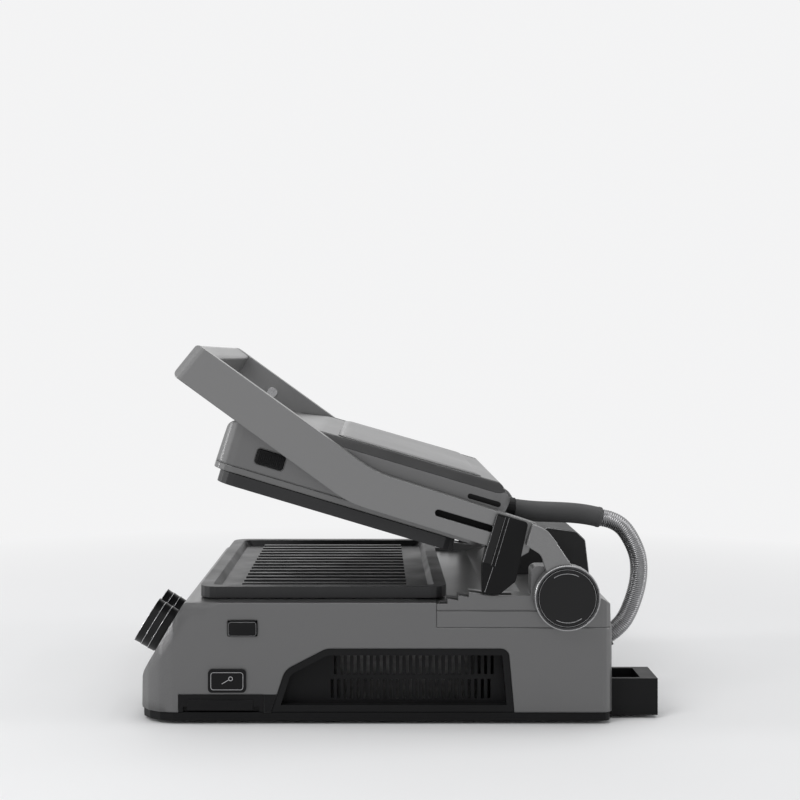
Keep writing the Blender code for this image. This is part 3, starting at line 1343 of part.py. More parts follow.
def make_lid_housing(lid):
    shell = closed_solver(prism("side", lid_profile(), -LID_HALF_WIDTH, LID_HALF_WIDTH, on=lid))
    meet(shell, prism("top", lid_plan(), LID_SEAM - OVERRUN, LID_TOP + OVERRUN, on=lid))
    meet(shell, prism("front", lid_section(), -LID_FRONT - OVERRUN, -LID_REAR + OVERRUN, on=lid))
    half = LID_HALF_WIDTH - LID_WALL
    inner = prism("side", inset(lid_profile(), LID_WALL), -half, half, on=lid)
    meet(inner, prism("top", lid_plan(LID_WALL), LID_SEAM - OVERRUN, LID_TOP + OVERRUN, on=lid))
    meet(inner, prism("front", lid_section(LID_WALL), -LID_FRONT, -LID_REAR, on=lid))
    mouth = prism("top", lid_mouth(), LID_SEAM - OVERRUN, LID_SEAM + LID_WALL * 2, on=lid)
    cut(shell, inner, mouth)
    reach = LID_HALF_WIDTH + OVERRUN
    pins = rod((-reach, -LID_PIVOT_FRONT, LID_PIVOT_HEIGHT), "X", reach * 2, LID_PIVOT_RADIUS + GAP, on=lid)
    low = LID_HALF_WIDTH - LID_WALL - OVERRUN
    release = prism("side", upper_release_outline(GAP), low, LID_HALF_WIDTH + OVERRUN, on=lid)
    gland_start = (GLAND_X, -LID_REAR - LID_WALL - OVERRUN * 3, GLAND_HEIGHT)
    gland = rod(gland_start, "Y", LID_WALL + OVERRUN * 6, GLAND_RADIUS * SPIGOT_SHARE + GAP, on=lid)
    cut(shell, pins, release, gland)
    return piece(shell, "lid_housing", PALE_METAL)


def lid_mouth():
    half = LID_HALF_WIDTH - LID_WALL
    front, rear = -LID_FRONT + LID_WALL, -LID_REAR_BOTTOM - LID_WALL
    return rectangle(-half, half, front, rear, LID_CORNER_RADIUS - LID_WALL)


def make_lid_rim(lid):
    half = LID_HALF_WIDTH
    outline = rectangle(-half, half, -LID_FRONT, -LID_REAR_BOTTOM, LID_CORNER_RADIUS)
    rim = prism("top", outline, LID_RIM_BOTTOM, LID_SEAM, on=lid)
    half = PLATE_HALF_WIDTH - WELL_MARGIN - UPPER_WELL_MARGIN / 4
    well = rectangle(
        -half,
        half,
        -UPPER_PLATE_FRONT + UPPER_WELL_MARGIN,
        -UPPER_PLATE_REAR - UPPER_WELL_MARGIN,
        PLATE_CORNER_RADIUS,
    )
    cut(rim, prism("top", well, LID_RIM_BOTTOM - OVERRUN, LID_SEAM + OVERRUN, on=lid))
    return piece(rim, "lid_rim", GREY_METAL)


def make_lid_top_panel(lid):
    slope = (LID_CREST[1] - LID_BROW[1]) / (LID_BROW[0] - LID_CREST[0])
    front, rear = LID_BROW[0] - LID_CORNER_RADIUS, LID_CREST[0] + LID_CORNER_RADIUS
    level = [LID_BROW[1] + slope * (LID_BROW[0] - f) + GAP for f in (front, rear)]
    outline = forward([
        (front, level[0]),
        (rear, level[1]),
        (rear, level[1] + TOP_PANEL_WALL),
        (front, level[0] + TOP_PANEL_WALL),
    ])
    half = LID_HALF_WIDTH - TOP_PANEL_INSET
    panel = prism("side", outline, -half, half, on=lid)
    plan = rectangle(-half, half, -front, -rear, LID_CORNER_RADIUS / 2)
    meet(panel, prism("top", plan, LID_SIDE_TOP, LID_TOP + OVERRUN, on=lid))
    return piece(panel, "lid_top_panel", PALE_METAL)


TOP_PANEL_WALL = 0.0016


def make_upper_plate(lid):
    half = PLATE_HALF_WIDTH
    outline = rectangle(-half, half, -UPPER_PLATE_FRONT, -UPPER_PLATE_REAR, PLATE_CORNER_RADIUS)
    plate = prism("top", outline, UPPER_PLATE_BOTTOM, UPPER_SEAT, on=lid)
    ceiling = UPPER_SEAT - PLATE_FLOOR
    cut(plate, dished(outline, ceiling, UPPER_PLATE_BOTTOM, on=lid))
    ridges = plate_ridges(
        PLATE_HALF_WIDTH - RIDGE_SIDE_MARGIN,
        -UPPER_PLATE_FRONT + CHANNEL_RUN,
        -UPPER_PLATE_REAR - CHANNEL_RUN,
        ceiling - RIDGE_HEIGHT,
        ceiling + PLATE_FLOOR / 4,
    )
    join(plate, boxes(ridges, on=lid))
    return piece(plate, "upper_plate", NONSTICK)


def make_upper_heater(lid):
    half = PLATE_HALF_WIDTH - WELL_MARGIN - HEATER_MARGIN
    height = LID_RIM_BOTTOM + HEATER_RADIUS
    front, rear = -UPPER_PLATE_FRONT + HEATER_MARGIN, -UPPER_PLATE_REAR - HEATER_MARGIN
    piece(tube(heater_path(half, front, rear, height), HEATER_RADIUS, on=lid), "upper_heater", STEEL)
    half = LID_HALF_WIDTH - LID_WALL - UPPER_WELL_MARGIN / 3
    front, rear = -UPPER_PLATE_FRONT + GAP, -UPPER_PLATE_REAR - GAP
    outline = rectangle(-half, half, front, rear, PLATE_CORNER_RADIUS)
    base = LID_SEAM + GAP
    reflector = prism("top", outline, base, base + REFLECTOR_WALL, on=lid)
    dome = inset(outline, UPPER_WELL_MARGIN)
    join(reflector, prism("top", dome, base, base + REFLECTOR_DEPTH, on=lid))
    chamber = inset(dome, REFLECTOR_WALL)
    cut(reflector, prism("top", chamber, base - OVERRUN, base + REFLECTOR_DEPTH - REFLECTOR_WALL, on=lid))
    return piece(reflector, "upper_reflector", STEEL)


def gland_direction():
    return Vector((0, math.cos(GLAND_TILT), math.sin(GLAND_TILT)))


def gland_tip():
    return Vector((GLAND_X, -LID_REAR, GLAND_HEIGHT)) + gland_direction() * GLAND_LENGTH


def make_lid_fittings(lid):
    low = LID_HALF_WIDTH - LID_WALL - RELEASE_STEM
    release = prism("side", upper_release_outline(), low, LID_HALF_WIDTH + UPPER_PROUD, on=lid)
    piece(release, "upper_plate_release", BLACK_PLASTIC)
    for side, where in ((1, "right"), (-1, "left")):
        low, high = sided(side, LID_HALF_WIDTH - LID_WALL * 2, ARM_INNER_FACE + PIN_SEAT - GAP)
        place = (low, -LID_PIVOT_FRONT, LID_PIVOT_HEIGHT)
        piece(rod(place, "X", high - low, LID_PIVOT_RADIUS, on=lid), "lid_pivot_pin_" + where, STEEL)
    direction = gland_direction()
    back = GLAND_LENGTH + LID_WALL * 3
    start = gland_tip() - direction * back
    gland = rod(start, "Z", back, GLAND_RADIUS, on=lid, tilt=direction.to_track_quat("Z", "X"))
    reach = GLAND_RADIUS * 3
    inside = box(
        (GLAND_X - reach, -LID_REAR - reach * 2, GLAND_HEIGHT - reach),
        (GLAND_X + reach, -LID_REAR + GAP, GLAND_HEIGHT + reach),
        on=lid,
    )
    cut(gland, inside)
    spigot_start = (GLAND_X, -LID_REAR - LID_WALL * 2, GLAND_HEIGHT)
    join(gland, rod(spigot_start, "Y", LID_WALL * 3, GLAND_RADIUS * SPIGOT_SHARE, on=lid))
    return piece(gland, "conduit_gland", BLACK_PLASTIC)


BOOT_RADIUS = 0.0092
HOSE_RADIUS = 0.0075
HOSE_GROOVE_SHARE = 0.88
HOSE_BORE_SHARE = 0.62
HOSE_RIBS = 66
BORE_POINTS = 30
BOOT_POINTS = 15
APART_SHARE = 0.35
HOSE_STRAIGHT_SHARES = (0.0, 1.0, 2.0)
BOOT_END = (0.1785, 0.1608)
HOSE_DROP = math.radians(-12)
HOSE_BULGE = [(0.2040, 0.1432), (0.2105, 0.1305), (0.2120, 0.1160), (0.2097, 0.0990), (0.2040, 0.0830)]


def smooth_curve(points, count):
    """Evenly spaced points on a smooth curve through the given ones."""
    spans = [second - first for first, second in zip(points, points[1:])]
    leans = [spans[0].normalized()]
    for before, after in zip(spans, spans[1:]):
        leans.append((before.normalized() * after.length + after.normalized() * before.length).normalized())
    leans.append(spans[-1].normalized())
    fine = []
    for number, span in enumerate(spans):
        here, there = points[number], points[number + 1]
        leave, arrive = leans[number] * span.length, leans[number + 1] * span.length
        for step in range(CURVE_STEPS):
            t = step / CURVE_STEPS
            fine.append(
                here * (2 * t**3 - 3 * t**2 + 1)
                + leave * (t**3 - 2 * t**2 + t)
                + there * (3 * t**2 - 2 * t**3)
                + arrive * (t**3 - t**2)
            )
    fine.append(points[-1])
    runs = [0.0]
    for first, second in zip(fine, fine[1:]):
        runs.append(runs[-1] + (second - first).length)
    even, place = [], 0
    for number in range(count):
        wanted = runs[-1] * number / (count - 1)
        while place < len(runs) - 2 and runs[place + 1] < wanted:
            place += 1
        share = (wanted - runs[place]) / (runs[place + 1] - runs[place])
        even.append(fine[place].lerp(fine[place + 1], min(max(share, 0.0), 1.0)))
    return even, runs[-1]


def hose_route():
    """The conduit's centre line, from the boot on the lid to the socket in the rear wall."""
    lean = Vector((0, math.cos(HOSE_DROP), math.sin(HOSE_DROP)))
    rise = Vector((0, math.cos(SOCKET_TILT), math.sin(SOCKET_TILT)))
    start = Vector((SOCKET_X, *BOOT_END)) + lean * GAP * 2
    end = Vector((SOCKET_X, BASE_REAR, SOCKET_Z)) + rise * (SOCKET_LENGTH + GAP)
    straights = [HOSE_RADIUS * share for share in HOSE_STRAIGHT_SHARES]
    middle = [Vector((SOCKET_X, y, z)) for y, z in HOSE_BULGE]
    leave = [start + lean * run for run in straights]
    arrive = [end + rise * run for run in reversed(straights)]
    return leave + middle + arrive


def ribbed_tube(route, radius, ribs):
    """A tube whose radius alternates along a smooth curve, so that it stands in ribs, with a bore."""
    points, length = smooth_curve(route, ribs * 2 + 1)
    curve = bpy.data.curves.new("hose", "CURVE")
    curve.dimensions = "3D"
    curve.bevel_depth = radius
    curve.bevel_resolution = 2
    curve.use_fill_caps = True
    spline = curve.splines.new("POLY")
    spline.points.add(len(points) - 1)
    for number, (vertex, point) in enumerate(zip(spline.points, points)):
        vertex.co = (*point, 1.0)
        vertex.radius = HOSE_GROOVE_SHARE if number % 2 else 1.0
    guide = bpy.data.objects.new("hose", curve)
    CUTTERS.objects.link(guide)
    hose = closed_solver(welded_mesh(guide))
    bore_points, _ = smooth_curve(route, BORE_POINTS)
    first, last = bore_points[0] - bore_points[1], bore_points[-1] - bore_points[-2]
    bore_points = [bore_points[0] + first, *bore_points, bore_points[-1] + last]
    cut(hose, tube(bore_points, radius * HOSE_BORE_SHARE))
    return hose, points, length


def least_gap(points, radius):
    """The least space between stretches of the hose that aren't neighbours."""
    apart = int(len(points) * APART_SHARE)
    gaps = [
        (first - second).length - radius * 2
        for number, first in enumerate(points)
        for second in points[number + apart :]
    ]
    return min(gaps)


def make_conduit(yoke_matrix):
    """The sheathed conduit behind the lid, and the rubber boot over its upper end."""
    hose, points, length = ribbed_tube(hose_route(), HOSE_RADIUS, HOSE_RIBS)
    piece(hose, "conduit", STEEL)
    print(f"conduit length {length:.4f} m, least gap to itself {least_gap(points, HOSE_RADIUS):.4f} m")
    away = yoke_matrix.to_3x3() @ gland_direction()
    begin = yoke_matrix @ gland_tip() + away * GAP
    lean = Vector((0, math.cos(HOSE_DROP), math.sin(HOSE_DROP)))
    end = Vector((SOCKET_X, *BOOT_END))
    leave = [begin + away * BOOT_RADIUS * share for share in (0.0, 0.5, 1.0)]
    arrive = [end - lean * BOOT_RADIUS * share for share in (1.0, 0.5, 0.0)]
    points, _ = smooth_curve(leave + arrive, BOOT_POINTS)
    piece(tube(points, BOOT_RADIUS), "conduit_boot", RUBBER)


def make_grill():
    make_base_housing()
    make_base_pan()
    make_feet()
    make_side_grilles()
    make_rear_deck()
    make_smoke_tower()
    make_intake_filter()
    make_lower_plate()
    make_lower_heater()
    make_lower_reflector()
    make_fan_scroll()
    make_fan_motor()
    make_fan_impeller()
    make_knobs()
    make_lower_release()
    make_probe_socket()
    make_probe_drawer()
    make_drip_tray()
    make_hinge_shafts()
    make_conduit_socket()
    yoke = new_axis("lid_hinge_axis", (0, HUB_Y, HUB_Z), tilt=-REST_ANGLE)
    make_arms(yoke)
    make_handle(yoke)
    make_hub_caps(yoke)
    make_height_sliders(yoke)
    lid = new_axis("lid_pivot_axis", (0, -LID_PIVOT_FRONT, LID_PIVOT_HEIGHT), on=yoke)
    make_lid_housing(lid)
    make_lid_rim(lid)
    make_lid_top_panel(lid)
    make_upper_plate(lid)
    make_upper_heater(lid)
    make_lid_fittings(lid)
    bpy.context.view_layer.update()
    make_conduit(yoke.matrix_world.copy())


make_grill()
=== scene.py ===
"""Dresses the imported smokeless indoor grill: materials, fine detail, floor, light and camera."""

import math

import bmesh
import bpy
from mathutils import Matrix, Vector
from mathutils.bvhtree import BVHTree


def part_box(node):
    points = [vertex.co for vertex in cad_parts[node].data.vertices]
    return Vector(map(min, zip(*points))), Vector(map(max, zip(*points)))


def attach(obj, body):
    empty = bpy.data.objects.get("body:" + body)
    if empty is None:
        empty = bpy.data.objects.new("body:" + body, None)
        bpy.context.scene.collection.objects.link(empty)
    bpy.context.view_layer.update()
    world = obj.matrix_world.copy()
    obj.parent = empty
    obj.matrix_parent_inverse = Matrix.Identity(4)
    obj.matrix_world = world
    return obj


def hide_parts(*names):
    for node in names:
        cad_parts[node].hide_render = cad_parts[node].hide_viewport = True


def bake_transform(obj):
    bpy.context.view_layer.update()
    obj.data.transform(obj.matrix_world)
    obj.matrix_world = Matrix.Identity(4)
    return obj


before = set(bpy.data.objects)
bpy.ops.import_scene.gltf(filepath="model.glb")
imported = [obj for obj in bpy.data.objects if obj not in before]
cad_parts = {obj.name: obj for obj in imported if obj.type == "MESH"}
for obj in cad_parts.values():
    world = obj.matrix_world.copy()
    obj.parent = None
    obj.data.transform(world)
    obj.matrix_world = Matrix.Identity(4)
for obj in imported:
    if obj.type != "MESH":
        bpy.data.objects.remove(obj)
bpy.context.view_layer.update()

# Camera at the photograph's viewing angle
camera_data = bpy.data.cameras.new("camera")
camera_data.sensor_width = 36
camera_data.lens = 62
camera_data.shift_x = 0.03125
camera_data.shift_y = -0.05375
camera_data.clip_start = 0.05
camera = bpy.data.objects.new("camera", camera_data)
camera.location = (1.29, -0.0173, 0.30)
camera.rotation_euler = (math.pi / 2, 0, math.pi / 2)
bpy.context.scene.collection.objects.link(camera)
bpy.context.scene.camera = camera
bpy.context.scene.view_settings.view_transform = "Standard"

# The hinge line, and the closed frame: distance in front of it, and height over it
HUB_Y, HUB_Z = 0.1383, 0.105
REST = math.radians(16.6)

# Distances of faces from the middle plane: base and arms, fender, height slider, lid, smoke tower
SIDE_FACE, FENDER_FACE, SLIDER_FACE, LID_HALF, TOWER_HALF = 0.165, 0.1745, 0.1688, 0.1485, 0.054

# How deep a raised form is rooted in its face
ROOT = -0.0003
SIDES = ((1, "right"), (-1, "left"))
YOKE = Matrix.Translation((0, HUB_Y, HUB_Z)) @ Matrix.Rotation(-REST, 4, "X")


def raised(x, front, height):
    """A point of the yoke or lid at rest, from its place in the closed frame."""
    return YOKE @ Vector((x, -front, height))


# Materials


class Shader:
    """A Principled material that is built up node by node."""

    def __init__(self, name, colour, roughness, metallic=0.0, **settings):
        self.material = bpy.data.materials.new(name)
        self.material.use_nodes = True
        self.tree = self.material.node_tree
        self.surface = self.tree.nodes["Principled BSDF"]
        self.colour = colour
        self.roughness = roughness
        self.set("Base Color", (*colour, 1.0))
        self.set("Roughness", roughness)
        self.set("Metallic", metallic)
        for key, value in settings.items():
            self.set(key.replace("_", " "), value)
        place = self.tree.nodes.new("ShaderNodeTexCoord")
        self.place = place.outputs["Object"]
        self.normal = None
        self.bevel = None
        self.material.diffuse_color = (*colour, 1.0)

    def set(self, socket, value):
        self.surface.inputs[socket].default_value = value

    def node(self, kind, **settings):
        made = self.tree.nodes.new(kind)
        for key, value in settings.items():
            setattr(made, key, value)
        return made

    def link(self, start, end):
        self.tree.links.new(start, end)

    def stretched(self, scale):
        mapping = self.node("ShaderNodeMapping")
        mapping.inputs["Scale"].default_value = scale
        self.link(self.place, mapping.inputs["Vector"])
        return mapping.outputs["Vector"]

    def noise(self, scale, detail=3.0, stretch=None):
        made = self.node("ShaderNodeTexNoise")
        made.inputs["Scale"].default_value = scale
        made.inputs["Detail"].default_value = detail
        self.link(self.place if stretch is None else self.stretched(stretch), made.inputs["Vector"])
        return made.outputs["Fac"]

    def spread(self, source, low, high, start=0.3, end=0.7):
        """Maps a noise onto a range."""
        made = self.node("ShaderNodeMapRange")
        for socket, value in zip(("From Min", "From Max", "To Min", "To Max"), (start, end, low, high)):
            made.inputs[socket].default_value = value
        self.link(source, made.inputs["Value"])
        return made.outputs["Result"]

    def tint(self, source, dark, light):
        """Colour that varies between two tints of the base colour."""
        ramp = self.node("ShaderNodeValToRGB")
        ramp.color_ramp.elements[0].position = 0.3
        ramp.color_ramp.elements[1].position = 0.7
        ramp.color_ramp.elements[0].color = (*(c * dark for c in self.colour), 1.0)
        ramp.color_ramp.elements[1].color = (*(c * light for c in self.colour), 1.0)
        self.link(source, ramp.inputs["Fac"])
        self.link(ramp.outputs["Color"], self.surface.inputs["Base Color"])
        return self

    def uneven(self, source, amount):
        self.link(
            self.spread(source, self.roughness - amount, self.roughness + amount),
            self.surface.inputs["Roughness"],
        )
        return self

    def eased(self, radius):
        """Sharp edges catch the light as if they were rounded."""
        made = self.node("ShaderNodeBevel", samples=4)
        made.inputs["Radius"].default_value = radius
        self.bevel = made
        self.normal = made.outputs["Normal"]
        self.link(self.normal, self.surface.inputs["Normal"])
        return self

    def bumped(self, source, strength, distance):
        made = self.node("ShaderNodeBump")
        made.inputs["Strength"].default_value = strength
        made.inputs["Distance"].default_value = distance
        self.link(source, made.inputs["Height"])
        if self.normal is not None:
            self.link(self.normal, made.inputs["Normal"])
        self.normal = made.outputs["Normal"]
        self.link(self.normal, self.surface.inputs["Normal"])
        return self


def metallic_paint(name, colour, roughness, ease=0.0009, corner=None):
    """Paint with fine flakes; near a corner line (across, offset, radius) its edge is broad and soft."""
    made = Shader(name, colour, roughness, 0.75, Coat_Weight=0.10, Coat_Roughness=0.25)
    made.eased(ease)
    if corner:
        across, offset, radius = corner
        gap = made.node("ShaderNodeVectorMath", operation="DOT_PRODUCT")
        made.link(made.place, gap.inputs[0])
        gap.inputs[1].default_value = across
        wide = made.spread(gap.outputs["Value"], radius, ease, offset + radius * 1.4, offset + radius * 1.9)
        made.link(wide, made.bevel.inputs["Radius"])
    flakes = made.noise(2600, 2.0)
    made.tint(flakes, 0.86, 1.16).uneven(made.noise(9, 4.0), 0.04)
    return made.bumped(flakes, 0.10, 0.00003).material


def moulded(name, colour, roughness, grain=900, depth=0.00004, ease=0.0005, gloss=0.25):
    made = Shader(name, colour, roughness, Specular_IOR_Level=gloss)
    made.eased(ease)
    made.tint(made.noise(14, 4.0), 0.85, 1.18).uneven(made.noise(40, 4.0), 0.05)
    return made.bumped(made.noise(grain, 2.0), 0.35, depth).material


def brushed(name, colour, roughness, stretch):
    made = Shader(name, colour, roughness, 1.0)
    made.eased(0.0003)
    lines = made.noise(60, 3.0, stretch)
    made.tint(lines, 0.86, 1.1).uneven(lines, 0.08)
    return made.bumped(lines, 0.12, 0.00002).material


def coated(name):
    made = Shader(name, (0.013, 0.013, 0.014), 0.42, Specular_IOR_Level=0.42)
    made.eased(0.0008)
    specks = made.node("ShaderNodeTexVoronoi")
    specks.inputs["Scale"].default_value = 900
    made.link(made.place, specks.inputs["Vector"])
    dots = made.spread(specks.outputs["Distance"], 1.0, 0.0, 0.12, 0.2)
    made.tint(dots, 1.0, 2.2).uneven(made.noise(30, 4.0), 0.06)
    return made.bumped(made.noise(700, 2.0), 0.3, 0.00004).material


def plated(name, colour, roughness):
    made = Shader(name, colour, roughness, 1.0)
    clouds = made.noise(220, 3.0)
    return made.tint(clouds, 0.9, 1.1).uneven(clouds, 0.06).material


BODY = metallic_paint("body_grey", (0.150, 0.150, 0.151), 0.36, 0.0012)
# The soft corner between the base's front and its slope: across it, its offset, its radius
SLOPE_CORNER = ((0, 0.900, -0.436), -0.1979, 0.013)
SHELL = metallic_paint("shell_grey", (0.145, 0.145, 0.146), 0.36, 0.0020, SLOPE_CORNER)
TOWER = moulded("tower_black", (0.022, 0.022, 0.0225), 0.50)
LID_TOP = metallic_paint("lid_grey", (0.150, 0.150, 0.151), 0.36, 0.0030)
ARM = metallic_paint("arm_grey", (0.205, 0.205, 0.206), 0.36, 0.0015)
RING = brushed("ring_dark", (0.060, 0.060, 0.062), 0.30, (1, 1, 12))
BRIGHT = brushed("bright_trim", (0.62, 0.62, 0.63), 0.16, (1, 1, 8))
BLACK = moulded("black_moulding", (0.0075, 0.0075, 0.0080), 0.42, gloss=0.13)
SATIN_BLACK = moulded("black_satin", (0.0080, 0.0080, 0.0085), 0.34, 600, 0.00002, gloss=0.24)
GRILLE = moulded("grille_moulding", (0.0090, 0.0090, 0.0095), 0.46, gloss=0.13)
BAND = moulded("band_dark", (0.015, 0.015, 0.0155), 0.46, 700, 0.00002)
# Near-black for slots: painted shade of recesses that are not cut into the parts
SLOT_SHADE = moulded("painted_slot_shade", (0.0040, 0.0040, 0.0042), 0.60, gloss=0.15)
BOOT = moulded("boot_rubber", (0.066, 0.066, 0.067), 0.55, 500, 0.00006, 0.0008)
FOOT = moulded("rubber_foot", (0.010, 0.010, 0.010), 0.72, 300, 0.0001)
STEEL = brushed("steel_brushed", (0.50, 0.50, 0.51), 0.28, (10, 1, 1))
MESH = brushed("filter_steel", (0.16, 0.16, 0.163), 0.42, (10, 1, 1))
HOSE = plated("hose_steel", (0.24, 0.24, 0.245), 0.30)
COAT = coated("nonstick_coat")
BOARD = moulded("board_green", (0.015, 0.10, 0.035), 0.42, 200, 0.00002)
# Light print for ticks, pointers, arcs and the pictogram; also slim lines that are painted highlights on the
# base's release button and the hub buttons' edges
MARK_AND_HIGHLIGHT = moulded("light_mark_and_painted_highlight", (0.50, 0.50, 0.51), 0.42, 300, 0.00001)
# Light brushed metal for the hubs' outer rims, and for slim lines that are painted highlights of edges on the
# sliders, fenders and smoke tower
RIM_AND_EDGE_HIGHLIGHT = brushed("light_rim_and_painted_edge_highlight", (0.34, 0.34, 0.345), 0.28, (1, 1, 6))

DRESS = {
    SHELL: ["base_housing"],
    BODY: ["rear_deck", "lid_rim"],
    TOWER: ["smoke_tower"],
    ARM: ["arm_left", "arm_right", "handle_bar"],
    LID_TOP: ["lid_housing"],
    GRILLE: ["side_grille_left", "side_grille_right"],
    COAT: ["lower_plate", "upper_plate"],
    BOARD: ["control_board"],
    MESH: ["intake_filter"],
    FOOT: ["foot_front_left", "foot_front_right", "foot_rear_left", "foot_rear_right"],
    STEEL: [
        "lower_heater", "lower_reflector", "fan_motor", "temperature_encoder",
        "timer_encoder", "probe_socket", "hinge_shaft_left", "hinge_shaft_right", "handle_screw_left",
        "handle_screw_right", "hub_spring_left", "hub_spring_right", "upper_heater", "upper_reflector",
        "lid_pivot_pin_left", "lid_pivot_pin_right",
    ],
}
finish = {node: material for material, nodes in DRESS.items() for node in nodes}
for node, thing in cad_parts.items():
    for slot in thing.material_slots:
        slot.material = finish.get(node, BLACK)

# Building blocks of the pieces. A place is a function from (u, v, height) to a point


def piece(name, work, materials, body, angle=32):
    """Makes an object of the mesh, which moves with the body; one that is given no body is left unattached.
    """
    bmesh.ops.recalc_face_normals(work, faces=work.faces)
    mesh = bpy.data.meshes.new(name)
    work.to_mesh(mesh)
    work.free()
    for material in materials:
        mesh.materials.append(material)
    mesh.shade_smooth()
    mesh.set_sharp_from_angle(angle=math.radians(angle))
    thing = bpy.data.objects.new(name, mesh)
    bpy.context.scene.collection.objects.link(thing)
    if body:
        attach(thing, body)
    return thing


def band(work, first, second, material=0):
    """Faces between two rings of vertices; a ring of one vertex is a tip."""
    count = max(len(first), len(second))
    for number in range(count):
        after = (number + 1) % count
        if len(first) == 1:
            corners = (first[0], second[number], second[after])
        elif len(second) == 1:
            corners = (first[number], second[0], first[after])
        else:
            corners = (first[number], second[number], second[after], first[after])
        work.faces.new(corners).material_index = material


def add_lathe(work, profile, place, sides=96):
    """Turns a profile of (radius, height, material) about the height; it starts and ends on the axis."""
    rings = []
    for radius, height, _ in profile:
        if radius == 0:
            rings.append([work.verts.new(place(0, 0, height))])
            continue
        turns = [math.tau * side / sides for side in range(sides)]
        spots = [(radius * math.cos(turn), radius * math.sin(turn)) for turn in turns]
        rings.append([work.verts.new(place(u, v, height)) for u, v in spots])
    for number in range(len(rings) - 1):
        if len(rings[number]) > 1 or len(rings[number + 1]) > 1:
            band(work, rings[number], rings[number + 1], profile[number][2])
    if profile[0][0] != 0:
        band(work, rings[-1], rings[0], profile[-1][2])


def add_pad(work, outline, place, levels, material=0, top=None):
    """A closed pad from foot to top; a level is how far the outline is drawn in, and its height."""
    rings = [[work.verts.new(place(u, v, height)) for u, v in outline(shrink)] for shrink, height in levels]
    for low, high in zip(rings, rings[1:]):
        band(work, low, high, material)
    work.faces.new(rings[0]).material_index = material
    work.faces.new(rings[-1]).material_index = material if top is None else top


def add_line(work, points, place, width, height, closed=False, foot=ROOT, material=0):
    """A slim raised line along flat points, with its upper edges sloped."""
    section = (
        (-0.5, foot), (-0.5, height * 0.5), (-0.3, height),
        (0.3, height), (0.5, height * 0.5), (0.5, foot),
    )
    flat = [Vector(point) for point in points]
    count, rings = len(flat), []
    for number, point in enumerate(flat):
        back = flat[number - 1] if number or closed else point
        ahead = flat[(number + 1) % count] if number < count - 1 or closed else point
        come = (point - back).normalized() if point != back else (ahead - point).normalized()
        leave = (ahead - point).normalized() if ahead != point else come
        run = (come + leave).normalized()
        across = Vector((-run.y, run.x)) / max(run.dot(leave), 0.35)
        ring = []
        for side, lift in section:
            spot = point + across * side * width
            ring.append(work.verts.new(place(spot.x, spot.y, lift)))
        rings.append(ring)
    for number in range(count if closed else count - 1):
        band(work, rings[number], rings[(number + 1) % count], material)
    if not closed:
        work.faces.new(rings[0]).material_index = material
        work.faces.new(rings[-1]).material_index = material


def round_box(length, height, radius, steps=6):
    """An outline function: a rounded rectangle about (0, 0), drawn in by a margin."""

    def outline(shrink=0.0):
        half_u, half_v = length / 2 - shrink, height / 2 - shrink
        curve = max(radius - shrink, 0.00005)
        points = []
        for number, (u, v) in enumerate(((1, 1), (-1, 1), (-1, -1), (1, -1))):
            for step in range(steps + 1):
                turn = math.pi / 2 * (number + step / steps)
                middle_u, middle_v = u * (half_u - curve), v * (half_v - curve)
                points.append((middle_u + curve * math.cos(turn), middle_v + curve * math.sin(turn)))
        return points

    return outline


def arc(radius, start, end, steps=24):
    """Points of an arc, from one angle to another in degrees."""
    turns = [math.radians(start + (end - start) * step / steps) for step in range(steps + 1)]
    return [(radius * math.cos(turn), radius * math.sin(turn)) for turn in turns]


def base_side(side, y, z, face=SIDE_FACE):
    """A place on the base's right (1) or left (-1) side: u runs back, v up."""
    return lambda u, v, height: Vector((side * (face + height), y + u, z + v))


def yoke_side(side, front, lift, face=SIDE_FACE):
    """The same on the yoke or lid, from a spot of the closed frame: u runs forward."""
    return lambda u, v, height: raised(side * (face + height), front + u, lift + v)


def hub_side(side, face):
    """A place on a hub, with v up in the resting stance and u to the back."""
    return lambda u, v, height: Vector((side * (face + height), HUB_Y + u, HUB_Z + v))

# Hubs: a satin ring with a bright outer rim, and a black button with two light arcs; the slim light ring just
# inside the button's edge is a painted highlight of its chamfer
HUB_FACE, BUTTON_FACE, RING_FOOT, BUTTON_FOOT = 0.178, 0.1774, 0.1748, 0.1724
ARC_RADIUS, ARC_WIDTH, ARC_PROUD, ARC_DEPTH = 0.0198, 0.00055, 0.00008, 0.0006
ARC_ANGLES = ((63, 124), (243, 305))
for side, where in SIDES:
    place = hub_side(side, HUB_FACE)
    foot = RING_FOOT - HUB_FACE
    work = bmesh.new()
    add_lathe(
        work,
        [
            (0.02398, foot, 1), (0.02398, -0.0009, 1), (0.02416, -0.0007, 1), (0.02530, -0.0007, 0),
            (0.02545, -0.0003, 0), (0.02565, -0.00004, 0), (0.02585, 0, 0), (0.02630, -0.0001, 0),
            (0.02655, -0.0004, 0), (0.02660, -0.0008, 0), (0.02660, foot, 1),
        ],
        place,
    )
    ring = piece("hub_rim_" + where, work, [RIM_AND_EDGE_HIGHLIGHT, RING], "yoke")
    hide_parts("hub_ring_" + where)
    face = BUTTON_FACE - HUB_FACE
    work = bmesh.new()
    add_lathe(
        work,
        [
            (0, BUTTON_FOOT - HUB_FACE, 0), (0.02360, BUTTON_FOOT - HUB_FACE, 0), (0.02360, face - 0.0007, 0),
            (0.02345, face - 0.0003, 0), (0.02320, face - 0.0001, 1), (0.02298, face - 0.0001, 0),
            (0.02290, face - 0.0003, 0), (0.02275, face - 0.0003, 0), (0.02255, face, 0),
            (0.018, face - 0.0001, 0), (0.010, face - 0.0003, 0), (0, face - 0.0004, 0),
        ],
        place,
    )
    for start, end in ARC_ANGLES:
        line = arc(ARC_RADIUS, start, end)
        add_line(work, line, place, ARC_WIDTH, face + ARC_PROUD, foot=face - ARC_DEPTH, material=1)
    button = piece("hub_cap_" + where, work, [SATIN_BLACK, MARK_AND_HIGHLIGHT], "button_" + where)
    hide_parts("hub_button_" + where)

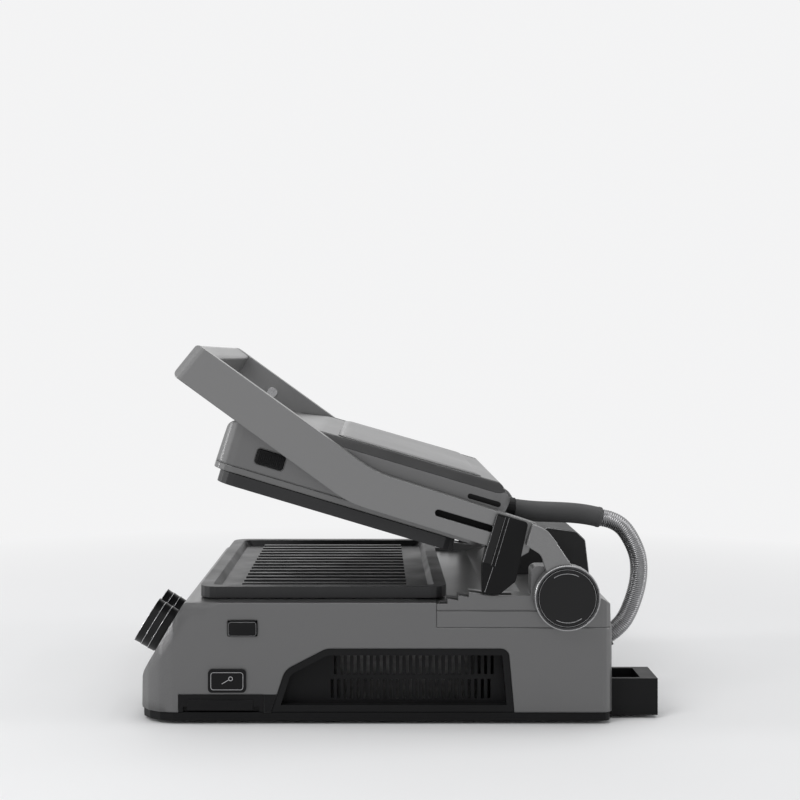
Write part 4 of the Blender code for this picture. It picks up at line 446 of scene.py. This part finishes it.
# Control knobs: three black bands, each with a thin bright ring, and a pointer line
KNOB_AXIS = Vector((0, -0.8570, 0.5153))
KNOB_UP = Vector((0, 0.5153, 0.8570))
KNOB_FOOT_Y, KNOB_FOOT_Z = -0.1916, 0.0691
BAND_RISE, BAND_TOPS = 0.0062, (0.0077, 0.0140, 0.0203)
POINTER, POINTER_WIDTH, POINTER_TOP, POINTER_FOOT = ((0, 0.0098), (0, 0.0174)), 0.0011, 0.0202, 0.0190
TICKS, TICK_START, TICK_STEP, LONG_EVERY = 13, 240, 25, 3
TICK_INNER, TICK_SHORT, TICK_LONG = 0.0217, 0.0229, 0.0235
TICK_WIDTH, TICK_TOP, TICK_FOOT = 0.0004, -0.00052, -0.0009
for which in ("temperature", "timer"):
    low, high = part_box(which + "_knob")
    foot = Vector(((low[0] + high[0]) / 2, KNOB_FOOT_Y, KNOB_FOOT_Z))

    def dial(u, v, height, foot=foot):
        return foot + Vector((u, 0, 0)) + KNOB_UP * v + KNOB_AXIS * height

    work = bmesh.new()
    profile = [(0, 0, 0), (0.0190, 0, 0), (0.0190, 0.00145, 0)]
    for top in BAND_TOPS:
        profile += [
            (0.01960, top - BAND_RISE, 0), (0.01985, top - 0.0014, 0), (0.02010, top - 0.0007, 0),
            (0.02022, top - 0.0004, 1), (0.02022, top - 0.0002, 1), (0.02005, top - 0.00005, 0),
            (0.0197, top, 0),
        ]
    profile += [(0.0190, 0.0203, 0), (0.0187, 0.0200, 0), (0.010, 0.01975, 0), (0, 0.0197, 0)]
    add_lathe(work, profile, dial)
    add_line(work, POINTER, dial, POINTER_WIDTH, POINTER_TOP, foot=POINTER_FOOT, material=2)
    knob = piece(which + "_dial_face", work, [SATIN_BLACK, BRIGHT, MARK_AND_HIGHLIGHT], which + "_dial")
    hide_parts(which + "_knob")
    work = bmesh.new()
    for number in range(TICKS):
        turn = math.radians(TICK_START - number * TICK_STEP)
        ray = Vector((math.cos(turn), math.sin(turn)))
        reach = TICK_SHORT if number % LONG_EVERY else TICK_LONG
        add_line(work, [ray * TICK_INNER, ray * reach], dial, TICK_WIDTH, TICK_TOP, foot=TICK_FOOT)
    piece(which + "_scale", work, [MARK_AND_HIGHLIGHT], "base")

# Plate releases: black buttons with rounded corners; the lid's has fine upright ridges, and the base's a
# light line along its rounded edge that is a painted highlight
RELEASE = round_box(0.0237, 0.0123, 0.0026)
LOWER_LEVELS = ((0.00003, -0.004), (0.00003, 0.0021), (0.0004, 0.0030), (0.0012, 0.0034))
UPPER_LEVELS = ((0.00003, -0.006), (0.00003, 0.0011), (0.0003, 0.0015), (0.0008, 0.0016))
HIGHLIGHT_MARGIN, HIGHLIGHT_WIDTH, HIGHLIGHT_TOP, HIGHLIGHT_FOOT = 0.0006, 0.00022, 0.00325, 0.0028
RIDGES, RIDGE_PITCH, RIDGE_HALF, RIDGE_WIDTH = 13, 0.00165, 0.0047, 0.0009
RIDGE_TOP, RIDGE_FOOT = 0.00205, 0.0014
work = bmesh.new()
place = base_side(1, -0.1255, 0.0784)
add_pad(work, RELEASE, place, LOWER_LEVELS)
highlight_outline = RELEASE(HIGHLIGHT_MARGIN)
add_line(work, highlight_outline, place, HIGHLIGHT_WIDTH, HIGHLIGHT_TOP, closed=True, foot=HIGHLIGHT_FOOT, material=1)
lower_button = piece("lower_release_button", work, [BLACK, MARK_AND_HIGHLIGHT], "lower_release")
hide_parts("lower_plate_release")

work = bmesh.new()
place = yoke_side(1, 0.2637, 0.0362, LID_HALF)
add_pad(work, RELEASE, place, UPPER_LEVELS)
for number in range(RIDGES):
    u = (number - RIDGES // 2) * RIDGE_PITCH
    add_line(work, [(u, -RIDGE_HALF), (u, RIDGE_HALF)], place, RIDGE_WIDTH, RIDGE_TOP, foot=RIDGE_FOOT)
upper_button = piece("upper_release_button", work, [BLACK], "upper_release")
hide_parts("upper_plate_release")

# Probe cover: an inner outline and a plain pictogram, a slim stem with a ring for its grip
OUTLINE_WIDTH, SIGN_WIDTH, PRINT_PROUD = 0.00038, 0.0005, 0.00008
STEM = [(-0.0042, -0.0022), (0.0016, 0.0012)]
GRIP_U, GRIP_V, GRIP_RADIUS = 0.0030, 0.0020, 0.0016
place = base_side(1, -0.138, 0.0358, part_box("probe_socket_cover")[1][0])
work = bmesh.new()
add_line(work, round_box(0.0262, 0.0140, 0.0022)(), place, OUTLINE_WIDTH, PRINT_PROUD, closed=True)
add_line(work, STEM, place, SIGN_WIDTH, PRINT_PROUD)
grip = [(GRIP_U + u, GRIP_V + v) for u, v in arc(GRIP_RADIUS, 0, 345, 20)]
add_line(work, grip, place, SIGN_WIDTH, PRINT_PROUD, closed=True)
piece("probe_cover_marks", work, [MARK_AND_HIGHLIGHT], "probe_cover")

# Probe drawer: a raised pull across its face, and the black trim that carries on to the arch
PULL = round_box(0.0538, 0.0086, 0.0010)
PULL_LEVELS = ((0, ROOT), (0, 0.0005), (0.0004, 0.0009))
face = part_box("probe_drawer")[1][0]
work = bmesh.new()
add_pad(work, PULL, base_side(1, -0.1438, 0.0157, face), PULL_LEVELS)
piece("probe_drawer_pull", work, [BLACK], "drawer")
work = bmesh.new()
TRIM = [(-0.1079, 0.0099), (-0.1079, 0.0245), (-0.0975, 0.0245), (-0.1022, 0.0099)]
TRIM_DEPTH, TRIM_PROUD = 0.0004, 0.00006
place = base_side(1, 0, 0)
low, high = ([work.verts.new(place(y, z, height)) for y, z in TRIM] for height in (-TRIM_DEPTH, TRIM_PROUD))
band(work, low, high)
work.faces.new(low)
work.faces.new(high)
piece("drawer_trim", work, [BLACK], "base")

# Height sliders: a raised front bar and a grooved strip; the light lines beside the strip, along the front
# edge and down the leg are painted highlights of edges
BAR = round_box(0.0062, 0.0395, 0.0006, 3)
BAR_FRONT, BAR_LIFT, BAR_LEVELS = 0.0693, 0.0272, ((0, ROOT), (0, 0.0004), (0.0003, 0.0007))
RIBS, RIB_FOOT, RIB_PITCH, RIB_REAR, RIB_FRONT = 26, 0.0088, 0.00150, 0.0630, 0.0654
STRIP_HIGHLIGHTS = [[(front, 0.0070), (front, 0.0478)] for front in (0.0657, 0.0627)]
FRONT_EDGE_HIGHLIGHT = [(0.0728, 0.0076), (0.0728, 0.0480)]
LEG_HIGHLIGHT = [(0.0638, 0.0058), (0.0646, -0.0155)]
FINE_WIDTH, EDGE_WIDTH, RIB_WIDTH = 0.00035, 0.0004, 0.0008
for side, where in SIDES:
    place = yoke_side(side, 0, 0, SLIDER_FACE)
    work = bmesh.new()
    add_pad(work, BAR, yoke_side(side, BAR_FRONT, BAR_LIFT, SLIDER_FACE), BAR_LEVELS)
    for number in range(RIBS):
        lift = RIB_FOOT + number * RIB_PITCH
        add_line(work, [(RIB_REAR, lift), (RIB_FRONT, lift)], place, RIB_WIDTH, 0.00018, material=1)
    for line in STRIP_HIGHLIGHTS:
        add_line(work, line, place, FINE_WIDTH, 0.0003, material=2)
    add_line(work, FRONT_EDGE_HIGHLIGHT, place, EDGE_WIDTH, 0.0004, material=2)
    add_line(work, LEG_HIGHLIGHT, place, FINE_WIDTH, 0.0002, material=2)
    piece("slider_trim_and_highlights_" + where, work, [SATIN_BLACK, GRILLE, RIM_AND_EDGE_HIGHLIGHT], "slider_" + where)

# Arms: a near-black sheet in the long slot, painted shade of its recess, and a light line along the fender's
# upper edge, a painted highlight
SLOT_FRONT, SLOT_REAR, SLOT_LIFT = 0.1217, 0.052, 0.0351
SLOT_SHADE_PLAY = 0.0001
SLOT_SHADE_LEVELS = ((0, -0.0063), (0, -0.0002), (0.0003, -0.0002), (0.0003, -0.0060))
FENDER = [
    (0.0430, 0.0488), (0.0360, 0.0483), (0.0300, 0.0466),
    (0.0245, 0.0428), (0.0150, 0.0348), (0.0072, 0.0284),
]
for side, where in SIDES:
    middle, reach = (SLOT_FRONT + SLOT_REAR) / 2, SLOT_FRONT - SLOT_REAR
    slot_shade_outline = round_box(reach - SLOT_SHADE_PLAY, 0.0056, 0.00275, 8)
    place = yoke_side(side, middle, SLOT_LIFT)
    work = bmesh.new()
    rings = []
    for shrink, height in SLOT_SHADE_LEVELS:
        rings.append([work.verts.new(place(u, v, height)) for u, v in slot_shade_outline(shrink)])
    for low, high in zip(rings, rings[1:]):
        band(work, low, high)
    work.faces.new(rings[0])
    work.faces.new(rings[-1])
    piece("arm_slot_painted_shade_" + where, work, [SLOT_SHADE], "yoke")
    work = bmesh.new()
    add_line(work, FENDER, yoke_side(side, 0, 0, FENDER_FACE), 0.0007, 0.00025)
    piece("fender_edge_highlight_" + where, work, [RIM_AND_EDGE_HIGHLIGHT], "yoke")


# Lid: a dark band over each long shoulder, and near the hinge a black pad that is painted shade of a vent
# slot
LID_REAR, LID_CORNER, BAND_INNER, BAND_MARGIN = 0.0615, 0.016, 0.1340, 0.0002
BAND_REAR, BAND_FRONT, BAND_STEPS = 0.0668, 0.262, 72
BAND_PROUD, BAND_DEPTH = 0.00018, 0.0005
BAND_SHARES = (0.0, 0.13, 0.27, 0.41, 0.52, 0.62, 0.76, 0.90, 1.0)
RAY_START, RAY_TRIES, RAY_STEP = 0.1, 40, 0.0002
VENT = round_box(0.0285, 0.0044, 0.0021)
VENT_LEVELS = ((0, ROOT), (0, 0.00005), (0.0002, 0.00015))


def laid(tree, side, front, x, lift):
    """A point over the lid's upper surface, drawn in a little where the ray would pass beside it."""
    turned = YOKE.to_3x3()
    for step in range(RAY_TRIES):
        start = raised(side * (x - step * RAY_STEP), front, RAY_START)
        hit, _, _, _ = tree.ray_cast(start, turned @ Vector((0, 0, -1)))
        if hit is not None:
            return hit + turned @ Vector((side * lift, 0, lift))
    return start


def add_strip(work, here, there):
    """Faces between two rows of vertices."""
    for number in range(len(here) - 1):
        work.faces.new((here[number], here[number + 1], there[number + 1], there[number]))


grid = bmesh.new()
grid.from_mesh(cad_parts["lid_housing"].data)
lid_tree = BVHTree.FromBMesh(grid)
grid.free()
for side, where in SIDES:
    work = bmesh.new()
    span = BAND_FRONT - BAND_REAR
    above, below = [], []
    for step in range(BAND_STEPS + 1):
        front = BAND_REAR + span * step / BAND_STEPS
        curve = max(0.0, LID_CORNER - (front - LID_REAR))
        widest = LID_HALF - LID_CORNER + math.sqrt(LID_CORNER**2 - curve**2) - BAND_MARGIN
        drawn = [widest + (BAND_INNER - widest) * share for share in BAND_SHARES]
        for rows, lift in ((above, BAND_PROUD), (below, -BAND_DEPTH)):
            row = [laid(lid_tree, side, front, x, lift) for x in drawn]
            rows.append([work.verts.new(point) for point in row])
    for number in range(BAND_STEPS):
        for rows in (above, below):
            add_strip(work, rows[number], rows[number + 1])
        for column in (0, -1):
            upper = (above[number][column], above[number + 1][column])
            lower = (below[number][column], below[number + 1][column])
            add_strip(work, upper, lower)
    for row in (0, -1):
        add_strip(work, above[row], below[row])
    piece("lid_shoulder_band_" + where, work, [BAND], "lid")
    work = bmesh.new()
    add_pad(work, VENT, yoke_side(side, 0.0842, 0.0545, LID_HALF), VENT_LEVELS)
    piece("lid_vent_painted_shade_" + where, work, [SLOT_SHADE], "lid")

# Lid: the top panel, whose edges slope gently down to the housing
PANEL_FRONT, PANEL_REAR, PANEL_HALF = 0.2156, 0.0899, 0.1333
PANEL_FOOT, PANEL_FALL, PANEL_CORNER = 0.07045, 0.00951, 0.010
PANEL_LEVELS = (
    (0, 0), (0.0004, 0.0003), (0.0020, 0.0008),
    (0.0045, 0.0013), (0.0075, 0.00155), (0.0095, 0.0016),
)


def panel_place(u, v, height):
    """A place on the lid's top, which falls towards the front."""
    front = (PANEL_FRONT + PANEL_REAR) / 2 + v
    return raised(u, front, PANEL_FOOT + PANEL_FALL * (PANEL_FRONT - front) + height)


work = bmesh.new()
panel = round_box(PANEL_HALF * 2, PANEL_FRONT - PANEL_REAR, PANEL_CORNER, 10)
add_pad(work, panel, panel_place, PANEL_LEVELS)
cover = piece("lid_top_cover", work, [LID_TOP], "lid")
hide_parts("lid_top_panel")

# Smoke tower: a thin light line along the edge of each flank, a painted highlight
FLANK = [(0.1744, 0.1057), (0.1709, 0.1355), (0.1628, 0.1431), (0.1383, 0.1465), (0.1106, 0.1417)]
for side, where in SIDES:
    work = bmesh.new()
    add_line(work, FLANK, base_side(side, 0, 0, TOWER_HALF), 0.0005, 0.0003)
    piece("tower_edge_highlight_" + where, work, [RIM_AND_EDGE_HIGHLIGHT], "base")

# Conduit between the lid and the base: a steel hose, and a rubber boot on the lid's end
SPAN_STEPS = 24


def smooth_curve(points, count):
    """Evenly spaced points on a smooth curve through the given ones, and its length."""
    spans = [second - first for first, second in zip(points, points[1:])]
    leans = [spans[0].normalized()]
    for before, after in zip(spans, spans[1:]):
        leans.append((before.normalized() * after.length + after.normalized() * before.length).normalized())
    leans.append(spans[-1].normalized())
    fine = []
    for number, span in enumerate(spans):
        here, there = points[number], points[number + 1]
        leave, arrive = leans[number] * span.length, leans[number + 1] * span.length
        for step in range(SPAN_STEPS):
            t = step / SPAN_STEPS
            fine.append(
                here * (2 * t**3 - 3 * t**2 + 1)
                + leave * (t**3 - 2 * t**2 + t)
                + there * (3 * t**2 - 2 * t**3)
                + arrive * (t**3 - t**2)
            )
    fine.append(points[-1])
    runs = [0.0]
    for first, second in zip(fine, fine[1:]):
        runs.append(runs[-1] + (second - first).length)
    even, place = [], 0
    for number in range(count):
        wanted = runs[-1] * number / (count - 1)
        while place < len(runs) - 2 and runs[place + 1] < wanted:
            place += 1
        share = (wanted - runs[place]) / (runs[place + 1] - runs[place])
        even.append(fine[place].lerp(fine[place + 1], min(max(share, 0.0), 1.0)))
    return even, runs[-1]


def add_sweep(work, points, radius, sides, material=0):
    """A round bar along points of one upright plane; radius is a function of (run share, turn)."""
    rings = []
    last = len(points) - 1
    for number, point in enumerate(points):
        run = (points[min(number + 1, last)] - points[max(number - 1, 0)]).normalized()
        up = run.cross(Vector((1, 0, 0)))
        ring = []
        for step in range(sides):
            turn = math.tau * step / sides
            reach = radius(number / last, turn)
            ray = Vector((1, 0, 0)) * math.cos(turn) + up * math.sin(turn)
            ring.append(work.verts.new(point + ray * reach))
        rings.append(ring)
    for low, high in zip(rings, rings[1:]):
        band(work, low, high, material)
    work.faces.new(rings[0]).material_index = material
    work.faces.new(rings[-1]).material_index = material


def slope(degrees):
    """A direction to the rear that rises by an angle."""
    return Vector((0, math.cos(math.radians(degrees)), math.sin(math.radians(degrees))))


CONDUIT_X = 0.095
BOOT_END = Vector((CONDUIT_X, 0.1785, 0.1608))
SOCKET = Vector((CONDUIT_X, 0.1775, 0.0545))
GLAND_FOOT = Vector((CONDUIT_X, -0.0615, 0.0485))
LEAN, RISE, GLAND_RUN = slope(-12), slope(35), slope(10.5)
GLAND_LENGTH, SOCKET_LENGTH, HOSE_GAP, BOOT_GAP = 0.010, 0.0083, 0.0006, 0.0003
STRAIGHT, BOOT_STRAIGHT = 0.0150, 0.0092
BULGE = [(0.2040, 0.1432), (0.2105, 0.1305), (0.2120, 0.1160), (0.2097, 0.0990), (0.2040, 0.0830)]
ROUGH_POINTS, EASING_ROUNDS = 45, 16
TURNS, PER_TURN, HELD = 74, 7, 3
HOSE_RADIUS, GROOVE, GROOVE_HALF_SHARE = 0.0075, 0.00050, 0.30

hose_start = BOOT_END + LEAN * HOSE_GAP
hose_end = SOCKET + RISE * SOCKET_LENGTH
route = [hose_start + LEAN * run for run in (0, STRAIGHT / 2, STRAIGHT)]
route += [Vector((CONDUIT_X, y, z)) for y, z in BULGE]
route += [hose_end + RISE * run for run in (STRAIGHT, STRAIGHT / 2, 0)]
hose_line, _ = smooth_curve(route, ROUGH_POINTS)
for _ in range(EASING_ROUNDS):
    inner = [
        (before + 2 * point + after) / 4
        for before, point, after in zip(hose_line, hose_line[1:], hose_line[2:])
    ]
    hose_line[HELD:-HELD] = inner[HELD - 1 : 1 - HELD]
hose_line, HOSE_LENGTH = smooth_curve(hose_line, TURNS * PER_TURN + 1)


def coiled(share, turn):
    """The hose's sheath is a flat strip wound in a fine screw, with a narrow groove between its turns."""
    phase = (share * TURNS - turn / math.tau) % 1.0
    return HOSE_RADIUS - GROOVE * max(0.0, 1 - abs(phase - 0.5) / GROOVE_HALF_SHARE) ** 0.8


work = bmesh.new()
add_sweep(work, hose_line, coiled, 40)
hose = piece("conduit_hose", work, [HOSE], None, angle=60)
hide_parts("conduit")

outward = (YOKE.to_3x3() @ GLAND_RUN).normalized()
gland_tip = YOKE @ (GLAND_FOOT + GLAND_RUN * GLAND_LENGTH)
boot_start = gland_tip + outward * BOOT_GAP
boot_route = [boot_start + outward * BOOT_STRAIGHT * share for share in (0.0, 0.5, 1.0)]
boot_route += [BOOT_END - LEAN * BOOT_STRAIGHT * share for share in (1.0, 0.5, 0.0)]
boot_line, _ = smooth_curve(boot_route, 97)


FIRST_COLLAR_SHARE, LAST_COLLAR_SHARE, ROUNDED_SHARE = 0.045, 0.95, 0.985
FIRST_COLLAR, LAST_COLLAR, BOOT_RADIUS, BOOT_TAPER, BOOT_ROUNDING = 0.0091, 0.0089, 0.0090, 0.0004, 0.0008


def sleeve(share, _):
    """The boot: a collar at each end, and a body that narrows a little towards the hose."""
    if share < FIRST_COLLAR_SHARE:
        return FIRST_COLLAR
    if share > LAST_COLLAR_SHARE:
        rounding = max(0.0, (share - ROUNDED_SHARE) / 0.015)
        return LAST_COLLAR - BOOT_ROUNDING * rounding**2
    return BOOT_RADIUS - BOOT_TAPER * share


work = bmesh.new()
add_sweep(work, boot_line, sleeve, 48)
boot = piece("conduit_sleeve", work, [BOOT], None, angle=50)
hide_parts("conduit_boot")
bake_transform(hose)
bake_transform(boot)


# Floor and light: both fade into one near-white backdrop away from the grill
BACKDROP = (0.90, 0.90, 0.905, 1.0)
FADE_START, FADE_END, FLOOR_HALF, FLOOR_DROP = 0.45, 1.15, 6, 0.0002


def seen_directly(tree):
    """1 for rays of the camera and for those that metal or glass pass on."""
    path = tree.nodes.new("ShaderNodeLightPath")
    total = path.outputs["Is Camera Ray"]
    for kind in ("Is Glossy Ray", "Is Transmission Ray"):
        greater = tree.nodes.new("ShaderNodeMath")
        greater.operation = "MAXIMUM"
        tree.links.new(total, greater.inputs[0])
        tree.links.new(path.outputs[kind], greater.inputs[1])
        total = greater.outputs["Value"]
    return total


FLOOR = Shader("floor_pale", (0.85, 0.85, 0.855), 0.85)
FLOOR.tint(FLOOR.noise(3, 3.0), 0.99, 1.01)
distance = FLOOR.node("ShaderNodeVectorMath", operation="LENGTH")
FLOOR.link(FLOOR.place, distance.inputs[0])
away = FLOOR.spread(distance.outputs["Value"], 0.0, 1.0, FADE_START, FADE_END)
eased = FLOOR.node("ShaderNodeMath", operation="MULTIPLY")
FLOOR.link(away, eased.inputs[0])
FLOOR.link(seen_directly(FLOOR.tree), eased.inputs[1])
glow = FLOOR.node("ShaderNodeEmission")
glow.inputs["Color"].default_value = BACKDROP
blend = FLOOR.node("ShaderNodeMixShader")
FLOOR.link(eased.outputs["Value"], blend.inputs["Fac"])
FLOOR.link(FLOOR.surface.outputs["BSDF"], blend.inputs[1])
FLOOR.link(glow.outputs["Emission"], blend.inputs[2])
FLOOR.link(blend.outputs["Shader"], FLOOR.tree.nodes["Material Output"].inputs["Surface"])
sheet = bpy.data.meshes.new("floor")
work = bmesh.new()
bmesh.ops.create_grid(work, x_segments=1, y_segments=1, size=FLOOR_HALF)
work.to_mesh(sheet)
work.free()
floor = bpy.data.objects.new("floor", sheet)
floor.location = (0, 0, -FLOOR_DROP)
floor.data.materials.append(FLOOR.material)
bpy.context.scene.collection.objects.link(floor)


def soft_light(name, place, aim, size, power):
    """A rectangular area light that the camera doesn't see."""
    lamp = bpy.data.lights.new(name, "AREA")
    lamp.shape = "RECTANGLE"
    lamp.size, lamp.size_y = size
    lamp.energy = power
    holder = bpy.data.objects.new(name, lamp)
    holder.location = place
    holder.visible_camera = False
    holder.rotation_euler = (Vector(aim) - Vector(place)).to_track_quat("-Z", "Y").to_euler()
    bpy.context.scene.collection.objects.link(holder)


soft_light("key", (1.3, -1.0, 1.5), (0, 0, 0.12), (0.9, 0.6), 11)
soft_light("top", (0.0, 0.15, 1.6), (0, 0, 0.1), (1.0, 1.0), 8)
soft_light("left", (-1.6, -0.5, 1.1), (0, 0, 0.12), (1.0, 1.0), 2.5)
soft_light("front_strip", (0.0, -2.6, 0.62), (0.1, -0.1, 0.12), (0.4, 1.3), 24)
soft_light("rear_strip", (0.3, 2.6, 0.62), (0.1, 0.1, 0.12), (0.4, 1.3), 16)
world = bpy.data.worlds.new("world")
bpy.context.scene.world = world
world.use_nodes = True
sky = world.node_tree
ambient = sky.nodes["Background"]
ambient.inputs["Color"].default_value = (0.88, 0.89, 0.90, 1.0)
ambient.inputs["Strength"].default_value = 0.47
seen = sky.nodes.new("ShaderNodeBackground")
seen.inputs["Color"].default_value = BACKDROP
seen.inputs["Strength"].default_value = 1.0
both = sky.nodes.new("ShaderNodeMixShader")
sky.links.new(seen_directly(sky), both.inputs["Fac"])
sky.links.new(ambient.outputs["Background"], both.inputs[1])
sky.links.new(seen.outputs["Background"], both.inputs[2])
sky.links.new(both.outputs["Shader"], sky.nodes["World Output"].inputs["Surface"])

bpy.context.view_layer.update()
